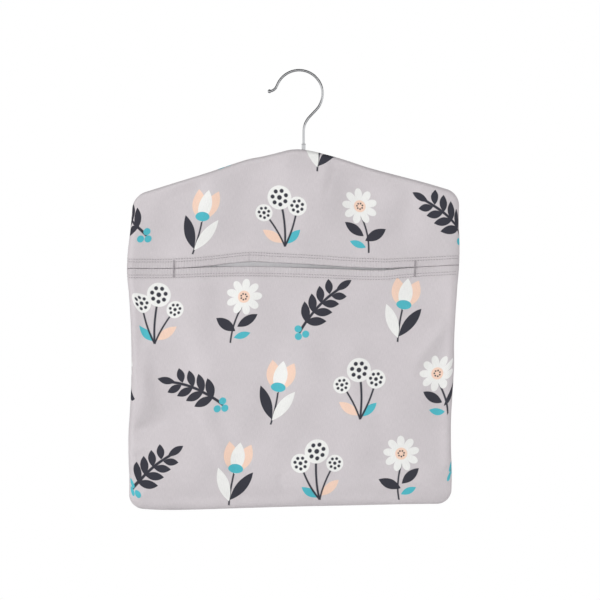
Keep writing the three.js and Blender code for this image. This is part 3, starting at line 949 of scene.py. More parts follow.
def branch():
    """A bent twig with pairs of dark leaves, which get smaller along it, and three teal berries."""
    lean, half, bend = 35, 31, 0.14
    leaf_along, leaf_out, leaf_turn = 5.5, 7.2, 50
    leaf_length, leaf_width = 10.6, 4.4
    marks = [(stem, "dark", (0, 0), lean, (half, half), bend)]
    turn = math.radians(lean)
    for k, place in enumerate((-17, -6, 5, 16)):
        bow = bend * half * (1 - (place / half) ** 2)
        for side in (1, -1):
            out = place + leaf_along, bow + side * leaf_out
            spot = (out[0] * math.cos(turn) - out[1] * math.sin(turn),
                    out[0] * math.sin(turn) + out[1] * math.cos(turn))
            size = (leaf_length - k, leaf_width - 0.2 * k)
            marks.append((leaf, "dark", spot, lean + side * leaf_turn, size, 0))
    marks.append((leaf, "dark", (26.5, 19), 22, (9, 3.6), 0))
    for place in ((-19, -20), (-25.5, -13.5), (-26.5, -21)):
        marks.append((disc, "teal", place, 0, (3.6, 3.6), 0))
    return marks


def tulip():
    """A peach and white tulip on a teal cup, with one white and one dark leaf."""
    return [
        (stem, "dark", (0, -14), 90, (20, 20), 0.06),
        (leaf, "pale", (-9, -14), 118, (18, 5.6), 0),
        (leaf, "dark", (9, -13), 60, (18, 5.2), 0),
        (leaf, "peach", (-7, 15), 106, (15, 7.2), 0),
        (leaf, "peach", (7, 15), 74, (15, 7.2), 0),
        (leaf, "pale", (0, 14), 90, (16, 7.0), 0),
        (disc, "teal", (0, 3.5), 0, (7.6, 4.6), 0),
    ]


def seed_heads():
    """Three white, dark-spotted seed heads on thin stems, with a teal and a peach leaf."""
    marks = [
        (leaf, "teal", (-9, -21), 140, (10, 4.0), 0),
        (leaf, "peach", (11, -19), 36, (12, 4.6), 0),
    ]
    foot = -30
    for (x, y), size in (((-16, 9), 9.5), ((1, 19), 12), ((18, 5), 8.5)):
        way = math.degrees(math.atan2(y - foot, x))
        half = math.hypot(x, y - foot) / 2
        marks.append((stem, "dark", (x / 2, (y + foot) / 2), way, (half, half), 0.08))
        marks.append((disc, "pale", (x, y), 0, (size, size), 0))
        marks.append((spots, "dark", (x, y), 12, (size, size), 7))
        marks.append((disc, "dark", (x, y), 0, (size / 5, size / 5), 0))
    return marks


MOTIFS = (daisy, branch, tulip, seed_heads)

# Motifs by which each row starts further on, the tilt of a motif in radians and its step from cell
# to cell, and half the soft edge of the ink in millimetres
MOTIFS_PASSED_PER_ROW = 3.0
TILT, TILT_STEP = 0.2, 2.3
INK_EDGE = 0.35


def print_tree(finish):
    """The print as a node group from the place on the flat cloth to a colour: rows of cells, every
    other row moved by half a cell and mirrored, the motifs in turn, each a stack of inked forms in
    the cell's own millimetres, tilted by a sine of the cell's number."""
    tree = bpy.data.node_groups.new("Garden print", "ShaderNodeTree")
    tree.interface.new_socket("Place", in_out="INPUT", socket_type="NodeSocketVector")
    tree.interface.new_socket("Colour", in_out="OUTPUT", socket_type="NodeSocketColor")
    wires = Wiring(tree)
    place_x, place_y = wires.split(wires.add("NodeGroupInput"))
    cell_y = wires.maths("DIVIDE", place_y, finish.repeat_height)
    row = wires.maths("FLOOR", cell_y)
    odd = wires.maths("FLOORED_MODULO", row, 2.0)
    cell_x = wires.maths("MULTIPLY_ADD", odd, 0.5, wires.maths("DIVIDE", place_x, finish.repeat_width))
    column = wires.maths("FLOOR", cell_x)
    mirror = wires.maths("MULTIPLY_ADD", odd, -2.0, 1.0)
    from_middle = wires.maths("SUBTRACT", wires.maths("FRACT", cell_x), 0.5)
    local_x = wires.maths("MULTIPLY", from_middle, mirror)
    local_y = wires.maths("SUBTRACT", wires.maths("FRACT", cell_y), 0.5)
    upright = wires.add(
        "ShaderNodeCombineXYZ", wires.maths("MULTIPLY", local_x, finish.repeat_width),
        wires.maths("MULTIPLY", local_y, finish.repeat_height),
    )
    number = wires.maths("MULTIPLY_ADD", row, MOTIFS_PASSED_PER_ROW, column)
    swing = wires.maths("SINE", wires.maths("MULTIPLY", number, TILT_STEP))
    tilt = wires.maths("MULTIPLY", swing, TILT)
    local = wires.add("ShaderNodeVectorRotate", upright, None, None, tilt, rotation_type="Z_AXIS")
    kind = wires.maths("FLOORED_MODULO", number, float(len(MOTIFS)))
    colour = finish.ground
    for k, motif in enumerate(MOTIFS):
        chosen = wires.maths("COMPARE", kind, float(k), 0.5)
        for form, ink, spot, turn, half, extra in motif():
            mapping = wires.add(
                "ShaderNodeMapping", local, (*spot, 0), (0, 0, math.radians(turn)), (*half, 1),
                vector_type="TEXTURE",
            )
            inside = form(wires, *wires.split(mapping), extra)
            soft = INK_EDGE / max(half)
            mask = wires.maths("MULTIPLY", wires.ramp(inside, -soft, soft), chosen)
            colour = wires.mix(mask, colour, getattr(finish, ink))
    wires.put(colour, tree.nodes.new("NodeGroupOutput").inputs[0])
    return tree


# Weave of the canvas: slant and waves of the twill, and by how much the tone of the cloth changes with
# its twill, its yarn, in clouds that are partly its uneven tone and partly painted shade of soft folds,
# and by a painted shade of the hems' gathers between two places, in metres
TWILL_SLANT, TWILL_TURN = 0.62, 5.2
TWILL_TONE, YARN_TONE, CLOUD_TONE_AND_FOLD_SHADE = 0.03, 0.068, 0.045
HEM_SHADE_LEFT, HEM_SHADE_RIGHT = -0.07, -0.025
HEM_SHADE_START, HEM_SHADE_END = -0.06, 0.0

# Gathers of the hems, in waves along the cloth, and how much each thing counts in the bump
GATHER_TURN, GATHER_DRIFT = 2.3, 9.0
TWILL_BUMP, YARN_BUMP, GATHER_BUMP = 0.5, 0.8, 4.5


def cloth_finish(name, finish):
    """Printed cotton canvas: the print on the outside and the pale reverse inside, both with a fine
    diagonal weave, upright flecks of yarn, slow changes of tone that are partly painted shade of soft
    folds, and gathers along the hems with painted shade on them."""
    material, wires, principled = shader(name, Roughness=0.9, Specular_IOR_Level=0.08)
    place = wires.add("ShaderNodeUVMap", uv_map="Flat cloth")
    objects = wires.objects()
    inked = wires.tree.nodes.new("ShaderNodeGroup")
    inked.node_tree = print_tree(finish)
    wires.put(place, inked.inputs[0])
    printed = wires.add("ShaderNodeAttribute", attribute_name="printed", output="Fac")
    gathered = wires.add("ShaderNodeAttribute", attribute_name="gathered", output="Fac")
    colour = wires.mix(printed, finish.reverse, inked.outputs[0])
    x, y = wires.split(place)
    slanted = wires.maths("MULTIPLY_ADD", y, TWILL_SLANT, x)
    twill = wires.maths("SINE", wires.maths("MULTIPLY", slanted, TWILL_TURN))
    yarn = wires.noise(wires.stretched(place, 1.5, 0.22, 1), scale=1.0, detail=3, roughness=0.7)
    cloud = wires.noise(objects, scale=14.0, detail=3, roughness=0.6)
    # The clouds' change of tone is partly the cloth's uneven tone and partly painted shade that stands
    # in for soft folds
    shade = wires.maths("ADD", wires.ramp(yarn, 0.25, 0.75, -YARN_TONE, YARN_TONE),
                        wires.ramp(cloud, 0.25, 0.75, -CLOUD_TONE_AND_FOLD_SHADE, CLOUD_TONE_AND_FOLD_SHADE))
    # Painted shade on the gathered hems, darker towards the left, standing in for the shade that their
    # bulk and puckers cast
    drawn = wires.ramp(wires.split(objects)[0], HEM_SHADE_START, HEM_SHADE_END,
                       HEM_SHADE_LEFT, HEM_SHADE_RIGHT)
    shade = wires.maths("MULTIPLY_ADD", gathered, drawn, shade)
    shade = wires.maths("ADD", shade, wires.maths("MULTIPLY_ADD", twill, TWILL_TONE, 1.0))
    wobble = wires.maths("MULTIPLY_ADD", cloud, GATHER_DRIFT, wires.maths("MULTIPLY", x, GATHER_TURN))
    strength = wires.maths("MULTIPLY", gathered, wires.ramp(cloud, 0.4, 0.6, start=0.4))
    gather = wires.maths("MULTIPLY", wires.maths("SINE", wobble), strength)
    height = wires.maths("MULTIPLY_ADD", twill, TWILL_BUMP, wires.maths("MULTIPLY", yarn, YARN_BUMP))
    height = wires.maths("MULTIPLY_ADD", gather, GATHER_BUMP, height)
    wires.join(principled, Base_Color=wires.toned(colour, shade),
               Normal=wires.bump(height, strength=0.22, distance=0.0002))
    return material


def spun(name, colour):
    """Spun thread: a tone that changes along it and a fine fuzzy bump."""
    material, wires, principled = shader(name, Roughness=0.8, Specular_IOR_Level=0.2)
    objects = wires.objects()
    fuzz = wires.noise(objects, scale=2600.0, detail=2)
    tone = wires.ramp(wires.noise(objects, scale=300.0, detail=1), 0.3, 0.7, start=0.88, end=1.08)
    wires.join(principled, Base_Color=wires.toned(colour, tone),
               Normal=wires.bump(fuzz, strength=0.4, distance=0.0001))
    return material


def thread_finish(name, finish):
    """Thread of the topstitching."""
    return spun(name, finish.thread)


def tack_finish(name, finish):
    """Thread of the bar tacks."""
    return spun(name, finish.tack)


def steel_finish(name, finish):
    """Plated steel wire: cloudy tone, rubbed patches of roughness and fine drawing marks."""
    material, wires, principled = shader(name, Metallic=1.0)
    objects = wires.objects()
    cloud = wires.noise(objects, scale=60.0, detail=3)
    marks = wires.noise(objects, scale=1800.0, detail=2)
    tone = wires.ramp(cloud, 0.3, 0.7, start=0.9, end=1.06)
    wires.join(principled, Base_Color=wires.toned(finish.steel, tone),
               Roughness=wires.ramp(cloud, 0.3, 0.7, start=0.26, end=0.36),
               Normal=wires.bump(marks, strength=0.08, distance=0.0001))
    return material


def wood_finish(name, finish):
    """Sanded pale wood: noise drawn out along the bar makes the grain, with fine dark pores."""
    material, wires, principled = shader(name, Coat_Weight=0.15, Coat_Roughness=0.3)
    objects = wires.objects()
    grain = wires.noise(wires.stretched(objects, 6, 90, 90), scale=1.6, detail=4, roughness=0.6)
    pores = wires.noise(wires.stretched(objects, 40, 900, 900), scale=1.0, detail=2)
    colour = wires.mix(wires.ramp(grain, 0.35, 0.65), finish.grain, finish.wood)
    colour = wires.mix(wires.ramp(pores, 0.62, 0.75, end=0.5), colour, finish.grain)
    wires.join(principled, Base_Color=colour,
               Roughness=wires.ramp(grain, 0.3, 0.7, start=0.42, end=0.58),
               Normal=wires.bump(pores, strength=0.15, distance=0.0003))
    return material


FINISHES = {
    "printed_canvas": cloth_finish,
    "spun_thread": thread_finish,
    "tack_thread": tack_finish,
    "plated_steel": steel_finish,
    "sanded_wood": wood_finish,
}


def finish_for(name, finish):
    """The material of that name, made once."""
    return bpy.data.materials.get(name) or FINISHES[name](name, finish)


# Pieces

# A stitch: rings and sides of its tube, and in shares of its radius how far its middle stands
# out, how much further its ends dip in and how much thinner they are
STITCH_RINGS, STITCH_SIDES = 5, 5
STITCH_LIFT, STITCH_DIP, STITCH_THINNING = 0.45, 1.5, 0.4


def fit(piece, body, slot, *nodes):
    """Puts a piece on its body in place of nodes of the frame; the slot is not used."""
    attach(piece, body)
    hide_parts(*nodes)


def fit_to_front(piece, part, nodes):
    """Puts a piece of the lower front in place of nodes of the frame. The middle rides on the mouth
    flap. A side stays fixed where it is built."""
    if part == "middle":
        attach(piece, "mouth_flap")
    else:
        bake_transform(piece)
    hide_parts(*nodes)


def sew(name, line, normals, stations, thread, material):
    """Single stitches along a line on the cloth: each is a short tube, thinner at its ends, which
    dip into the cloth as the fourth power of the way from its middle."""
    share = np.linspace(-1, 1, STITCH_RINGS)
    places = stations[:, None] + share * thread.stitch / 2
    middle = along(line, places.ravel()).reshape(*places.shape, 3)
    upward = unit(along(line, places.ravel(), normals).reshape(middle.shape))
    radius = thread.thickness / 2
    lift = radius * (STITCH_LIFT - STITCH_DIP * share**4)
    middle = middle + lift[None, :, None] * upward
    way = unit(np.gradient(middle, axis=1))
    across = unit(np.cross(upward, way))
    upward = np.cross(way, across)
    step = turns(STITCH_SIDES)[:, None]
    girth = (radius * (1 - STITCH_THINNING * share**2))[None, :, None, None]
    around = np.cos(step) * across[:, :, None] + np.sin(step) * upward[:, :, None]
    points = middle[:, :, None] + girth * around
    count = STITCH_RINGS * STITCH_SIDES
    start = np.arange(len(stations))[:, None, None] * count
    sides = (start + grid_faces(STITCH_RINGS, STITCH_SIDES, True)[None]).reshape(-1, 4)
    ring = np.arange(STITCH_SIDES)
    ends = (start + np.stack([ring[::-1], ring + count - STITCH_SIDES])).reshape(-1, STITCH_SIDES)
    return mesh_piece(name, points.reshape(-1, 3), [sides, ends], material)


class PEGBAG_OT_back(Operator):
    """Back panel of printed canvas, rolled over to the seam on all sides"""
    bl_idname = "peg_bag.back"
    bl_label = "Back panel"

    def execute(self, context):
        cloth, finish = settings(context, "cloth", "finish")
        points = back_face(cloth)
        piece = cloth_piece(
            "back_cloth", points, surface_normals(points), flat_map(points, BACK_PRINT),
            cloth.thickness, finish_for("printed_canvas", finish),
        )
        fit(piece, "bag", "printed_cloth", "back_panel")
        return {"FINISHED"}


class PEGBAG_OT_yoke(Operator):
    """Upper front panel with its hemmed, arched lower edge"""
    bl_idname = "peg_bag.yoke"
    bl_label = "Front yoke"

    def execute(self, context):
        cloth, thread, finish = settings(context, "cloth", "thread", "finish")
        points, sewn = front_yoke(cloth, thread)
        flat = flat_map(points, YOKE_PRINT)
        piece = cloth_piece(
            "yoke_cloth", points, surface_normals(points), flat, cloth.thickness,
            finish_for("printed_canvas", finish), hem_gathers(flat, sewn),
        )
        fit(piece, "bag", "printed_cloth", "front_yoke", "upper_left_hem", "upper_right_hem")
        return {"FINISHED"}


class PEGBAG_OT_lower_front(Operator):
    """Lower front panel with its hemmed upper edge, in three stretches, the middle of which rides on
    the mouth flap
    """
    bl_idname = "peg_bag.lower_front"
    bl_label = "Lower front"

    def execute(self, context):
        cloth, thread, finish = settings(context, "cloth", "thread", "finish")
        points, sewn = lower_front(cloth, thread)
        normals, flat = surface_normals(points), flat_map(points, LOWER_PRINT)
        first, last = np.searchsorted(column_places(cloth), (-cloth.flap_half, cloth.flap_half))
        stretches = {
            "left": (slice(None, first + 1), ("front_left_side", "lower_left_hem")),
            "middle": (slice(first, last + 1), ("front_middle", "lower_middle_hem")),
            "right": (slice(last, None), ("front_right_side", "lower_right_hem")),
        }
        for part, (cut, nodes) in stretches.items():
            piece = cloth_piece(
                f"front_cloth_{part}", points[:, cut], normals[:, cut], flat[:, cut],
                cloth.thickness, finish_for("printed_canvas", finish), hem_gathers(flat, sewn),
            )
            fit_to_front(piece, part, nodes)
        return {"FINISHED"}


class PEGBAG_OT_topstitching(Operator):
    """Two rows of single stitches along each hem, and the short back tack on the arch"""
    bl_idname = "peg_bag.topstitching"
    bl_label = "Topstitching"

    # From the ends of a row to its first and last stitch, in millimetres
    MARGIN = 9
    # Rows of the grid that the back tack reaches under the first row, and the way from one of its
    # stitches to the next, in stitches
    BACK_TACK_ROWS = 7
    BACK_TACK_STEP = 0.8

    def execute(self, context):
        cloth, thread, finish = settings(context, "cloth", "thread", "finish")
        material = finish_for("spun_thread", finish)
        yoke, yoke_rows = front_yoke(cloth, thread)
        lower, lower_rows = lower_front(cloth, thread)
        for number, (upper_row, lower_row) in enumerate(zip(yoke_rows, lower_rows), 1):
            line, normals, stations = self.sewing_line(cloth, thread, yoke, upper_row)
            piece = sew(f"upper_stitches_{number}", line, normals, stations, thread, material)
            fit(piece, "bag", "sewing_thread", f"upper_stitch_row_{number}")
            line, normals, stations = self.sewing_line(cloth, thread, lower, lower_row)
            x = along(line, stations)[:, 0] - BAG_MIDDLE
            parts = {
                "left": x < -cloth.flap_half, "middle": np.abs(x) <= cloth.flap_half,
                "right": x > cloth.flap_half,
            }
            for part, chosen in parts.items():
                name = f"lower_{part}_stitches_{number}"
                piece = sew(name, line, normals, stations[chosen], thread, material)
                nodes = [f"lower_{part}_stitch_row_{number}"]
                fit_to_front(piece, part, nodes)
        self.back_tack(cloth, thread, yoke, yoke_rows, finish_for("tack_thread", finish))
        return {"FINISHED"}

    def sewing_line(self, cloth, thread, points, row):
        """One row of a panel's grid on the outside of the cloth, its normals, and the lengths along
        it at which stitches stand."""
        normals = surface_normals(points)[row]
        line = points[row] + cloth.thickness / 2 * normals
        return line, normals, np.arange(self.MARGIN, run_length(line) - self.MARGIN, thread.pitch)

    def back_tack(self, cloth, thread, yoke, rows, material):
        """A column of the yoke's grid from under the first row up to the second, sewn over itself."""
        column = int(np.argmin(np.abs(column_places(cloth) - cloth.arch_place)))
        part = slice(rows[0] - self.BACK_TACK_ROWS, rows[1] + 1)
        normals = surface_normals(yoke)[part, column]
        line = yoke[part, column] + cloth.thickness / 2 * normals
        stations = np.arange(thread.stitch / 2, run_length(line), thread.stitch * self.BACK_TACK_STEP)
        piece = sew("arch_back_tack", line, normals, stations, thread, material)
        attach(piece, "bag")


class PEGBAG_OT_bar_tacks(Operator):
    """Dense columns of short stitches that tie the lips together at the ends of the mouth"""
    bl_idname = "peg_bag.bar_tacks"
    bl_label = "Bar tacks"

    # Way from one stitch to the next, in threads, and points to a stitch
    STITCH_STEP = 0.8
    STITCH_POINTS = 10
    THREAD_SIDES = 6
    # How far the thread stands off the cloth, and how much further in the middle of the column
    LIFT = 0.25
    BULGE = 0.15

    def execute(self, context):
        cloth, thread, finish = settings(context, "cloth", "thread", "finish")
        material = finish_for("tack_thread", finish)
        for name, side in SIDES.items():
            place = side * thread.tack_place
            piece = self.tack(f"{name}_tack_stitches", cloth, thread, place, material)
            fit(piece, "bag", "sewing_thread", f"{name}_bar_tack")
        return {"FINISHED"}

    def tack(self, name, cloth, thread, place, material):
        """One thread that runs to and fro across the column as a sine wave while it climbs, on the
        front of the cloth."""
        height = thread.tack_above + thread.tack_below
        total = height / (thread.thickness * self.STITCH_STEP)
        step = np.linspace(0, total, int(total * self.STITCH_POINTS))
        x = place + thread.tack_width / 2 * np.sin(np.pi * step)
        z = -cloth.mouth_drop - thread.tack_below + height * step / total
        share = x / half_width(cloth, z)
        line = face_points(cloth, share[None], z[None], FRONT)[0]
        line[:, 1] -= cloth.thickness / 2 + self.LIFT + self.BULGE * np.cos(np.pi * step) ** 2
        outward = np.array([0.0, FRONT, 0.0])
        across = unit(np.cross(outward, unit(np.gradient(line, axis=0))))
        radii = np.full(len(line), thread.thickness / 2)
        return tube(name, line, radii, across, self.THREAD_SIDES, material)


class PEGBAG_OT_seams(Operator):
    """Seam allowances inside the bag: standing at the sides and bottom, pressed at the shoulders"""
    bl_idname = "peg_bag.seams"
    bl_label = "Seam allowances"

    # Width of an allowance and thickness of its two plies, in millimetres
    WIDTH = 9.0
    PLIES = 1.4
    ROWS, COLUMNS = 150, 9
    # From the seams to the allowances, and from the corners to their ends, in millimetres
    INSET, SHOULDER_INSET = 2.4, 5
    SIDE_HEAD, SIDE_FOOT, BOTTOM_END = 22, 18, 18
    SHOULDER_START, SHOULDER_END = 13, 27
    # Waves of a standing allowance along its length, and gap that a pressed one keeps to the back
    WAVE_HEIGHT, WAVE_TURN, WAVE_DRIFT, DRIFT_TURN = 0.5, 55, 3, 9
    PRESSED_GAP = 0.45

    def execute(self, context):
        cloth, finish = settings(context, "cloth", "finish")
        for node, (x, y, z) in self.strips(cloth).items():
            points = hung_points(x, y, z)
            piece = cloth_piece(
                f"{node}_allowance", points, surface_normals(points), flat_map(points, (0, 0)),
                self.PLIES, finish_for("printed_canvas", finish), printed=0.0,
            )
            fit(piece, "bag", "plain_cloth", node)
        return {"FINISHED"}

    def strips(self, cloth):
        """The middle of each allowance, both plies pressed together, as a grid on the flat bag: down
        the sides and along the bottom with a sine wave that grows away from the seam, along the
        shoulders on the inside of the back."""
        shoulder = shoulder_height(cloth)
        run = np.linspace(0, 1, self.ROWS)[:, None]
        across = np.linspace(0, self.WIDTH, self.COLUMNS)[None]
        inset = self.INSET + across
        down = shoulder - self.SIDE_HEAD - run * (
            cloth.height + shoulder - (self.SIDE_HEAD + self.SIDE_FOOT))
        sideways = half_width(cloth, down) - inset
        phase = self.WAVE_TURN * run + self.WAVE_DRIFT * np.sin(self.DRIFT_TURN * run)
        wave = self.WAVE_HEIGHT * np.sin(phase) * inset / self.WIDTH
        reach = cloth.width / 2 - cloth.taper - self.BOTTOM_END
        level = -reach + 2 * reach * run
        slope = self.SHOULDER_START + run * (
            cloth.width / 2 - (self.SHOULDER_START + self.SHOULDER_END))
        top = top_edge(cloth, slope * 2 / cloth.width) - self.SHOULDER_INSET - across
        still = 0 * inset
        return {
            "left_side_seam": (-sideways[:, ::-1], wave[:, ::-1], down + still),
            "right_side_seam": (sideways, wave, down + still),
            "bottom_seam": (level + still, wave, -cloth.height + inset + 0 * level),
            "left_shoulder_seam": (-slope + still, self.pressed(cloth, -slope, top), top),
            "right_shoulder_seam": (slope + still, self.pressed(cloth, slope, top), top),
        }

    def pressed(self, cloth, x, z):
        """Depth at which a seam allowance lies against the inside of the back."""
        back = face_points(cloth, x / half_width(cloth, z), z, BACK)[..., 1]
        return back - cloth.thickness / 2 - self.PLIES / 2 - self.PRESSED_GAP


class PEGBAG_OT_hanger(Operator):
    """Wooden bar and washer of the frame, with grain and plated steel"""
    bl_idname = "peg_bag.hanger"
    bl_label = "Hanger bar"

    def execute(self, context):
        (finish,) = settings(context, "finish")
        for node, name in {"hanger_bar": "sanded_wood", "hook_washer": "plated_steel"}.items():
            frame["nodes"][node].material_slots[0].material = finish_for(name, finish)
        return {"FINISHED"}


class PEGBAG_OT_hook(Operator):
    """Bent wire hook with its rounded tip and peened end, and the sleeve that it turns in"""
    bl_idname = "peg_bag.hook"
    bl_label = "Hook"

    WIRE_SIDES, SLEEVE_SIDES = 20, 40
    NECK_POINTS, LOOP_POINTS, FLICK_POINTS, RIM_POINTS = 40, 160, 30, 12
    # Gap between the ends of the shank and the neck, so that no point comes twice
    JOIN_GAP = 0.01
    # Places of the head's rings, in heights of the head, and of the wire's, in millimetres
    HEAD_RINGS = (0.0, 0.04, 0.15, 0.35, 0.6, 0.9, 1.0, 1.02)
    HEAD_MARGIN, RING_STEP, TIP_MARGIN = 0.6, 0.7, 2
    BEAD_RINGS, BEAD_START = 16, 0.2 * np.pi
    # Fullness of the head's rounding and radius that is left at the very tip
    HEAD_FULLNESS = 1.02
    TIP_RADIUS = 0.02

    def execute(self, context):
        hook, finish = settings(context, "hook", "finish")
        steel = finish_for("plated_steel", finish)
        line, tip_run = self.wire_line(hook)
        stations = self.stations(hook, run_length(line), tip_run)
        flat = along(line, stations)
        path = np.stack([flat[:, 0], np.zeros(len(flat)), flat[:, 1]], -1)
        across = np.array([0.0, 1.0, 0.0])
        radii = self.radii(hook, stations, tip_run)
        wire = tube("hook_wire", path, radii, across, self.WIRE_SIDES, steel)
        fit(wire, "hook", "hook_steel", "hook")
        profile = self.sleeve_profile(hook)
        sleeve = lathe("sleeve_tube", profile, hook.shank_place, self.SLEEVE_SIDES, steel)
        fit(sleeve, "bag", "hook_steel", "hook_sleeve")
        return {"FINISHED"}

    def wire_line(self, hook):
        """The middle line of the wire: shank, an arc into the leaning neck, the loop, a straight
        tail and the arc of the flick, and beyond the tip half a bead. Also the length to the tip."""
        lean, tail = hook.neck_lean, hook.tail_angle
        loop_z = hook.wire / 2 - hook.loop_radius
        loop = arc((0, loop_z), hook.loop_radius, -lean, tail, self.LOOP_POINTS)
        neck_x = hook.shank_place + hook.neck_radius * (1 - math.cos(lean))
        neck_z = loop[0, 1] - (loop[0, 0] - neck_x) / math.tan(lean) - hook.neck_radius * math.sin(lean)
        neck = arc((hook.shank_place + hook.neck_radius, neck_z), hook.neck_radius,
                   math.pi, math.pi - lean, self.NECK_POINTS)
        shank = np.array([(hook.shank_place, HOOK_FOOT), (hook.shank_place, neck_z - self.JOIN_GAP)])
        onward = np.array([math.cos(tail + math.pi / 2), math.sin(tail + math.pi / 2)])
        bend = loop[-1] + onward * hook.tail_length
        centre = bend + hook.flick_radius * np.array([math.cos(tail), math.sin(tail)])
        flick = arc(centre, hook.flick_radius, tail + math.pi, tail + math.pi - hook.flick_turn,
                    self.FLICK_POINTS)
        way = tail + math.pi / 2 - hook.flick_turn
        outward = np.array([math.cos(way), math.sin(way)])
        tip = flick[-1] + hook.tip_length * outward
        end = tip + hook.bead / 2 * outward
        line = np.concatenate([shank, neck, loop, flick, tip[None]])
        return np.concatenate([line, end[None]]), run_length(line)

    def stations(self, hook, total, tip_run):
        """Lengths along the wire: close together on the head and the bead, even between them."""
        head = np.array(self.HEAD_RINGS) * hook.head_height
        wire = np.arange(hook.head_height + self.HEAD_MARGIN, tip_run - self.TIP_MARGIN, self.RING_STEP)
        bead = tip_run - hook.bead / 2 * np.cos(np.linspace(self.BEAD_START, np.pi, self.BEAD_RINGS))
        return np.concatenate([head, wire, np.minimum(bead, total)])

    def radii(self, hook, stations, tip_run):
        """Half the wire, a rounded head at the foot and a ball at the tip."""
        share = np.clip(1 - stations / hook.head_height, 0, 1)
        rounding = hook.head / 2 * np.sqrt(self.HEAD_FULLNESS - share**3)
        head = np.where(stations <= hook.head_height, rounding, 0)
        square = (hook.bead / 2) ** 2 - (stations - tip_run) ** 2
        ball = np.sqrt(np.clip(square, self.TIP_RADIUS**2, None))
        before = np.where(stations < tip_run, np.maximum(ball, hook.wire / 2), ball)
        return np.maximum(before, head)

    def sleeve_profile(self, hook):
        """Wall of the sleeve, its outer upper edge rolled into a rim of a small radius."""
        bore = hook.wire / 2 + hook.bore_gap
        foot, top = SLEEVE_LOW[2], SLEEVE_HIGH[2]
        rim = arc((SLEEVE_RADIUS, top - hook.rim), hook.rim, -math.pi / 2, math.pi / 2, self.RIM_POINTS)
        return np.concatenate([[(bore, foot), (SLEEVE_RADIUS, foot)], rim, [(bore, top)]])


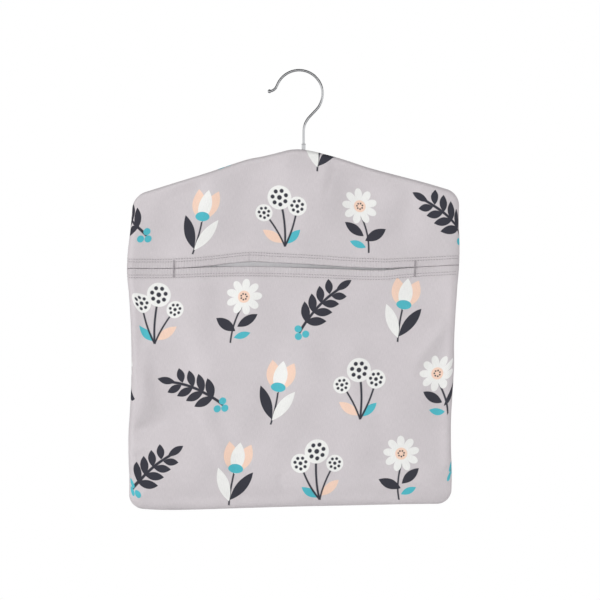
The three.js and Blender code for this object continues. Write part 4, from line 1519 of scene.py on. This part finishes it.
class PEGBAG_OT_studio(Operator):
    """Pale floor, white surroundings, cards that shade the steel, soft lights and the camera"""
    bl_idname = "peg_bag.studio"
    bl_label = "Studio"

    # Lens and sensor of the camera, and half sizes of the floor and the cards, in millimetres
    LENS = 100.0
    SENSOR = 36.0
    FLOOR_HALF, CARD_HALF = 3400, 2000
    BOARD_POINTS = 4
    # Each light's name, setting, size and place, in metres
    LIGHTS = (
        ("Front light", "front", 0.28, (0, -1.75, -0.25)),
        ("Left light", "left", 0.9, (-1.8, -0.65, 0.5)),
        ("Right light", "right", 0.9, (1.8, -0.35, 0.5)),
        ("Rear light", "rear", 1.2, (0.5, 1.8, 0.5)),
    )

    def execute(self, context):
        (studio,) = settings(context, "studio")
        scene = context.scene
        scene.view_settings.view_transform = "Standard"
        self.camera(scene, studio)
        self.surroundings(scene, studio)
        self.board("studio_floor", studio.floor, self.FLOOR_HALF, -studio.floor_drop, studio.floor_glow)
        self.card("studio_upper_card", studio.upper_card, studio.upper_card_rise)
        self.card("studio_lower_card", studio.lower_card, -studio.lower_card_drop)
        middle = Vector((0, 0, studio.view_z * MILLIMETRE))
        for name, setting, size, place in self.LIGHTS:
            self.light(scene, name, getattr(studio, setting), size, Vector(place), middle)
        return {"FINISHED"}

    def camera(self, scene, studio):
        """A long lens square to the front of the bag."""
        data = bpy.data.cameras.new("Camera")
        data.lens, data.sensor_width = self.LENS, self.SENSOR
        camera = bpy.data.objects.new("Camera", data)
        distance = studio.view_width * MILLIMETRE * self.LENS / self.SENSOR
        camera.location = (studio.view_x * MILLIMETRE, -distance, studio.view_z * MILLIMETRE)
        camera.rotation_euler = (math.pi / 2, 0, 0)
        scene.collection.objects.link(camera)
        scene.camera = camera

    def surroundings(self, scene, studio):
        """A world that looks like the backdrop and gives an even, plain light."""
        world = bpy.data.worlds.new("Studio")
        world.use_nodes = True
        scene.world = world
        wires = Wiring(world.node_tree)
        sky = (studio.sky, studio.sky, studio.sky, 1)
        colour = wires.mix(self.background_rays(wires), sky, studio.backdrop)
        wires.put(colour, world.node_tree.nodes["Background"].inputs["Color"])

    def background_rays(self, wires):
        """1 for a ray that shows the background: to the camera, in a reflection or through glass."""
        ray = wires.add("ShaderNodeLightPath").node.outputs
        seen = wires.maths("MAXIMUM", ray["Is Camera Ray"], ray["Is Glossy Ray"])
        return wires.maths("MAXIMUM", seen, ray["Is Transmission Ray"])

    def board(self, name, colour, half, height, glow):
        """A level square sheet over or under the bag, out of the picture, which background rays see
        paler than it is by its glow."""
        material, wires, principled = shader(name, Roughness=0.9, Emission_Color=colour)
        cloud = wires.noise(wires.objects(), scale=2.0, detail=2)
        tone = wires.ramp(cloud, 0.3, 0.7, start=0.985)
        seen = self.background_rays(wires)
        wires.join(principled, Base_Color=wires.toned(colour, tone),
                   Emission_Strength=wires.maths("MULTIPLY", seen, glow))
        places = np.linspace(-half, half, self.BOARD_POINTS)
        x, y = np.meshgrid(places, places)
        points = np.stack([x, y, 0 * x + height], -1).reshape(-1, 3)
        piece = mesh_piece(name, points, [grid_faces(self.BOARD_POINTS, self.BOARD_POINTS)], material)
        return piece

    def card(self, name, colour, height):
        """A grey level board that only steel reflects, which gives the bright wire its shade."""
        board = self.board(name, colour, self.CARD_HALF, height, 0.0)
        board.visible_camera = False
        board.visible_diffuse = False
        board.visible_shadow = False

    def light(self, scene, name, power, size, place, target):
        """A square lamp that faces the target, and that steel doesn't mirror."""
        data = bpy.data.lights.new(name, "AREA")
        data.energy, data.size = power, size
        light = bpy.data.objects.new(name, data)
        light.location = place
        light.rotation_euler = (target - place).to_track_quat("-Z", "Y").to_euler()
        light.visible_glossy = False
        scene.collection.objects.link(light)


class PEGBAG_PT_panel(Panel):
    """Steps that build the peg bag, and its settings"""
    bl_idname = "PEGBAG_PT_panel"
    bl_label = "Peg Bag"
    bl_space_type = "VIEW_3D"
    bl_region_type = "UI"
    bl_category = "Peg Bag"

    def draw(self, context):
        for step in STEPS:
            self.layout.operator(step.bl_idname)
        for key, group in GROUPS.items():
            box = self.layout.box()
            for name in group.__annotations__:
                box.prop(getattr(context.scene, key), name)


GROUPS = {
    "peg_bag_cloth": PegBagCloth,
    "peg_bag_thread": PegBagThread,
    "peg_bag_hook": PegBagHook,
    "peg_bag_finish": PegBagFinish,
    "peg_bag_studio": PegBagStudio,
}
STEPS = (
    PEGBAG_OT_studio, PEGBAG_OT_back, PEGBAG_OT_yoke, PEGBAG_OT_lower_front,
    PEGBAG_OT_topstitching, PEGBAG_OT_bar_tacks, PEGBAG_OT_seams, PEGBAG_OT_hanger,
    PEGBAG_OT_hook,
)


def register():
    for key, group in GROUPS.items():
        bpy.utils.register_class(group)
        setattr(bpy.types.Scene, key, PointerProperty(type=group))
    for step in (*STEPS, PEGBAG_PT_panel):
        bpy.utils.register_class(step)


def unregister():
    for step in (PEGBAG_PT_panel, *reversed(STEPS)):
        bpy.utils.unregister_class(step)
    for key, group in reversed(GROUPS.items()):
        delattr(bpy.types.Scene, key)
        bpy.utils.unregister_class(group)


def main():
    """Builds the whole bag."""
    register()
    for step in STEPS:
        getattr(bpy.ops.peg_bag, step.bl_idname.split(".")[1])()


if __name__ == "__main__":
    main()
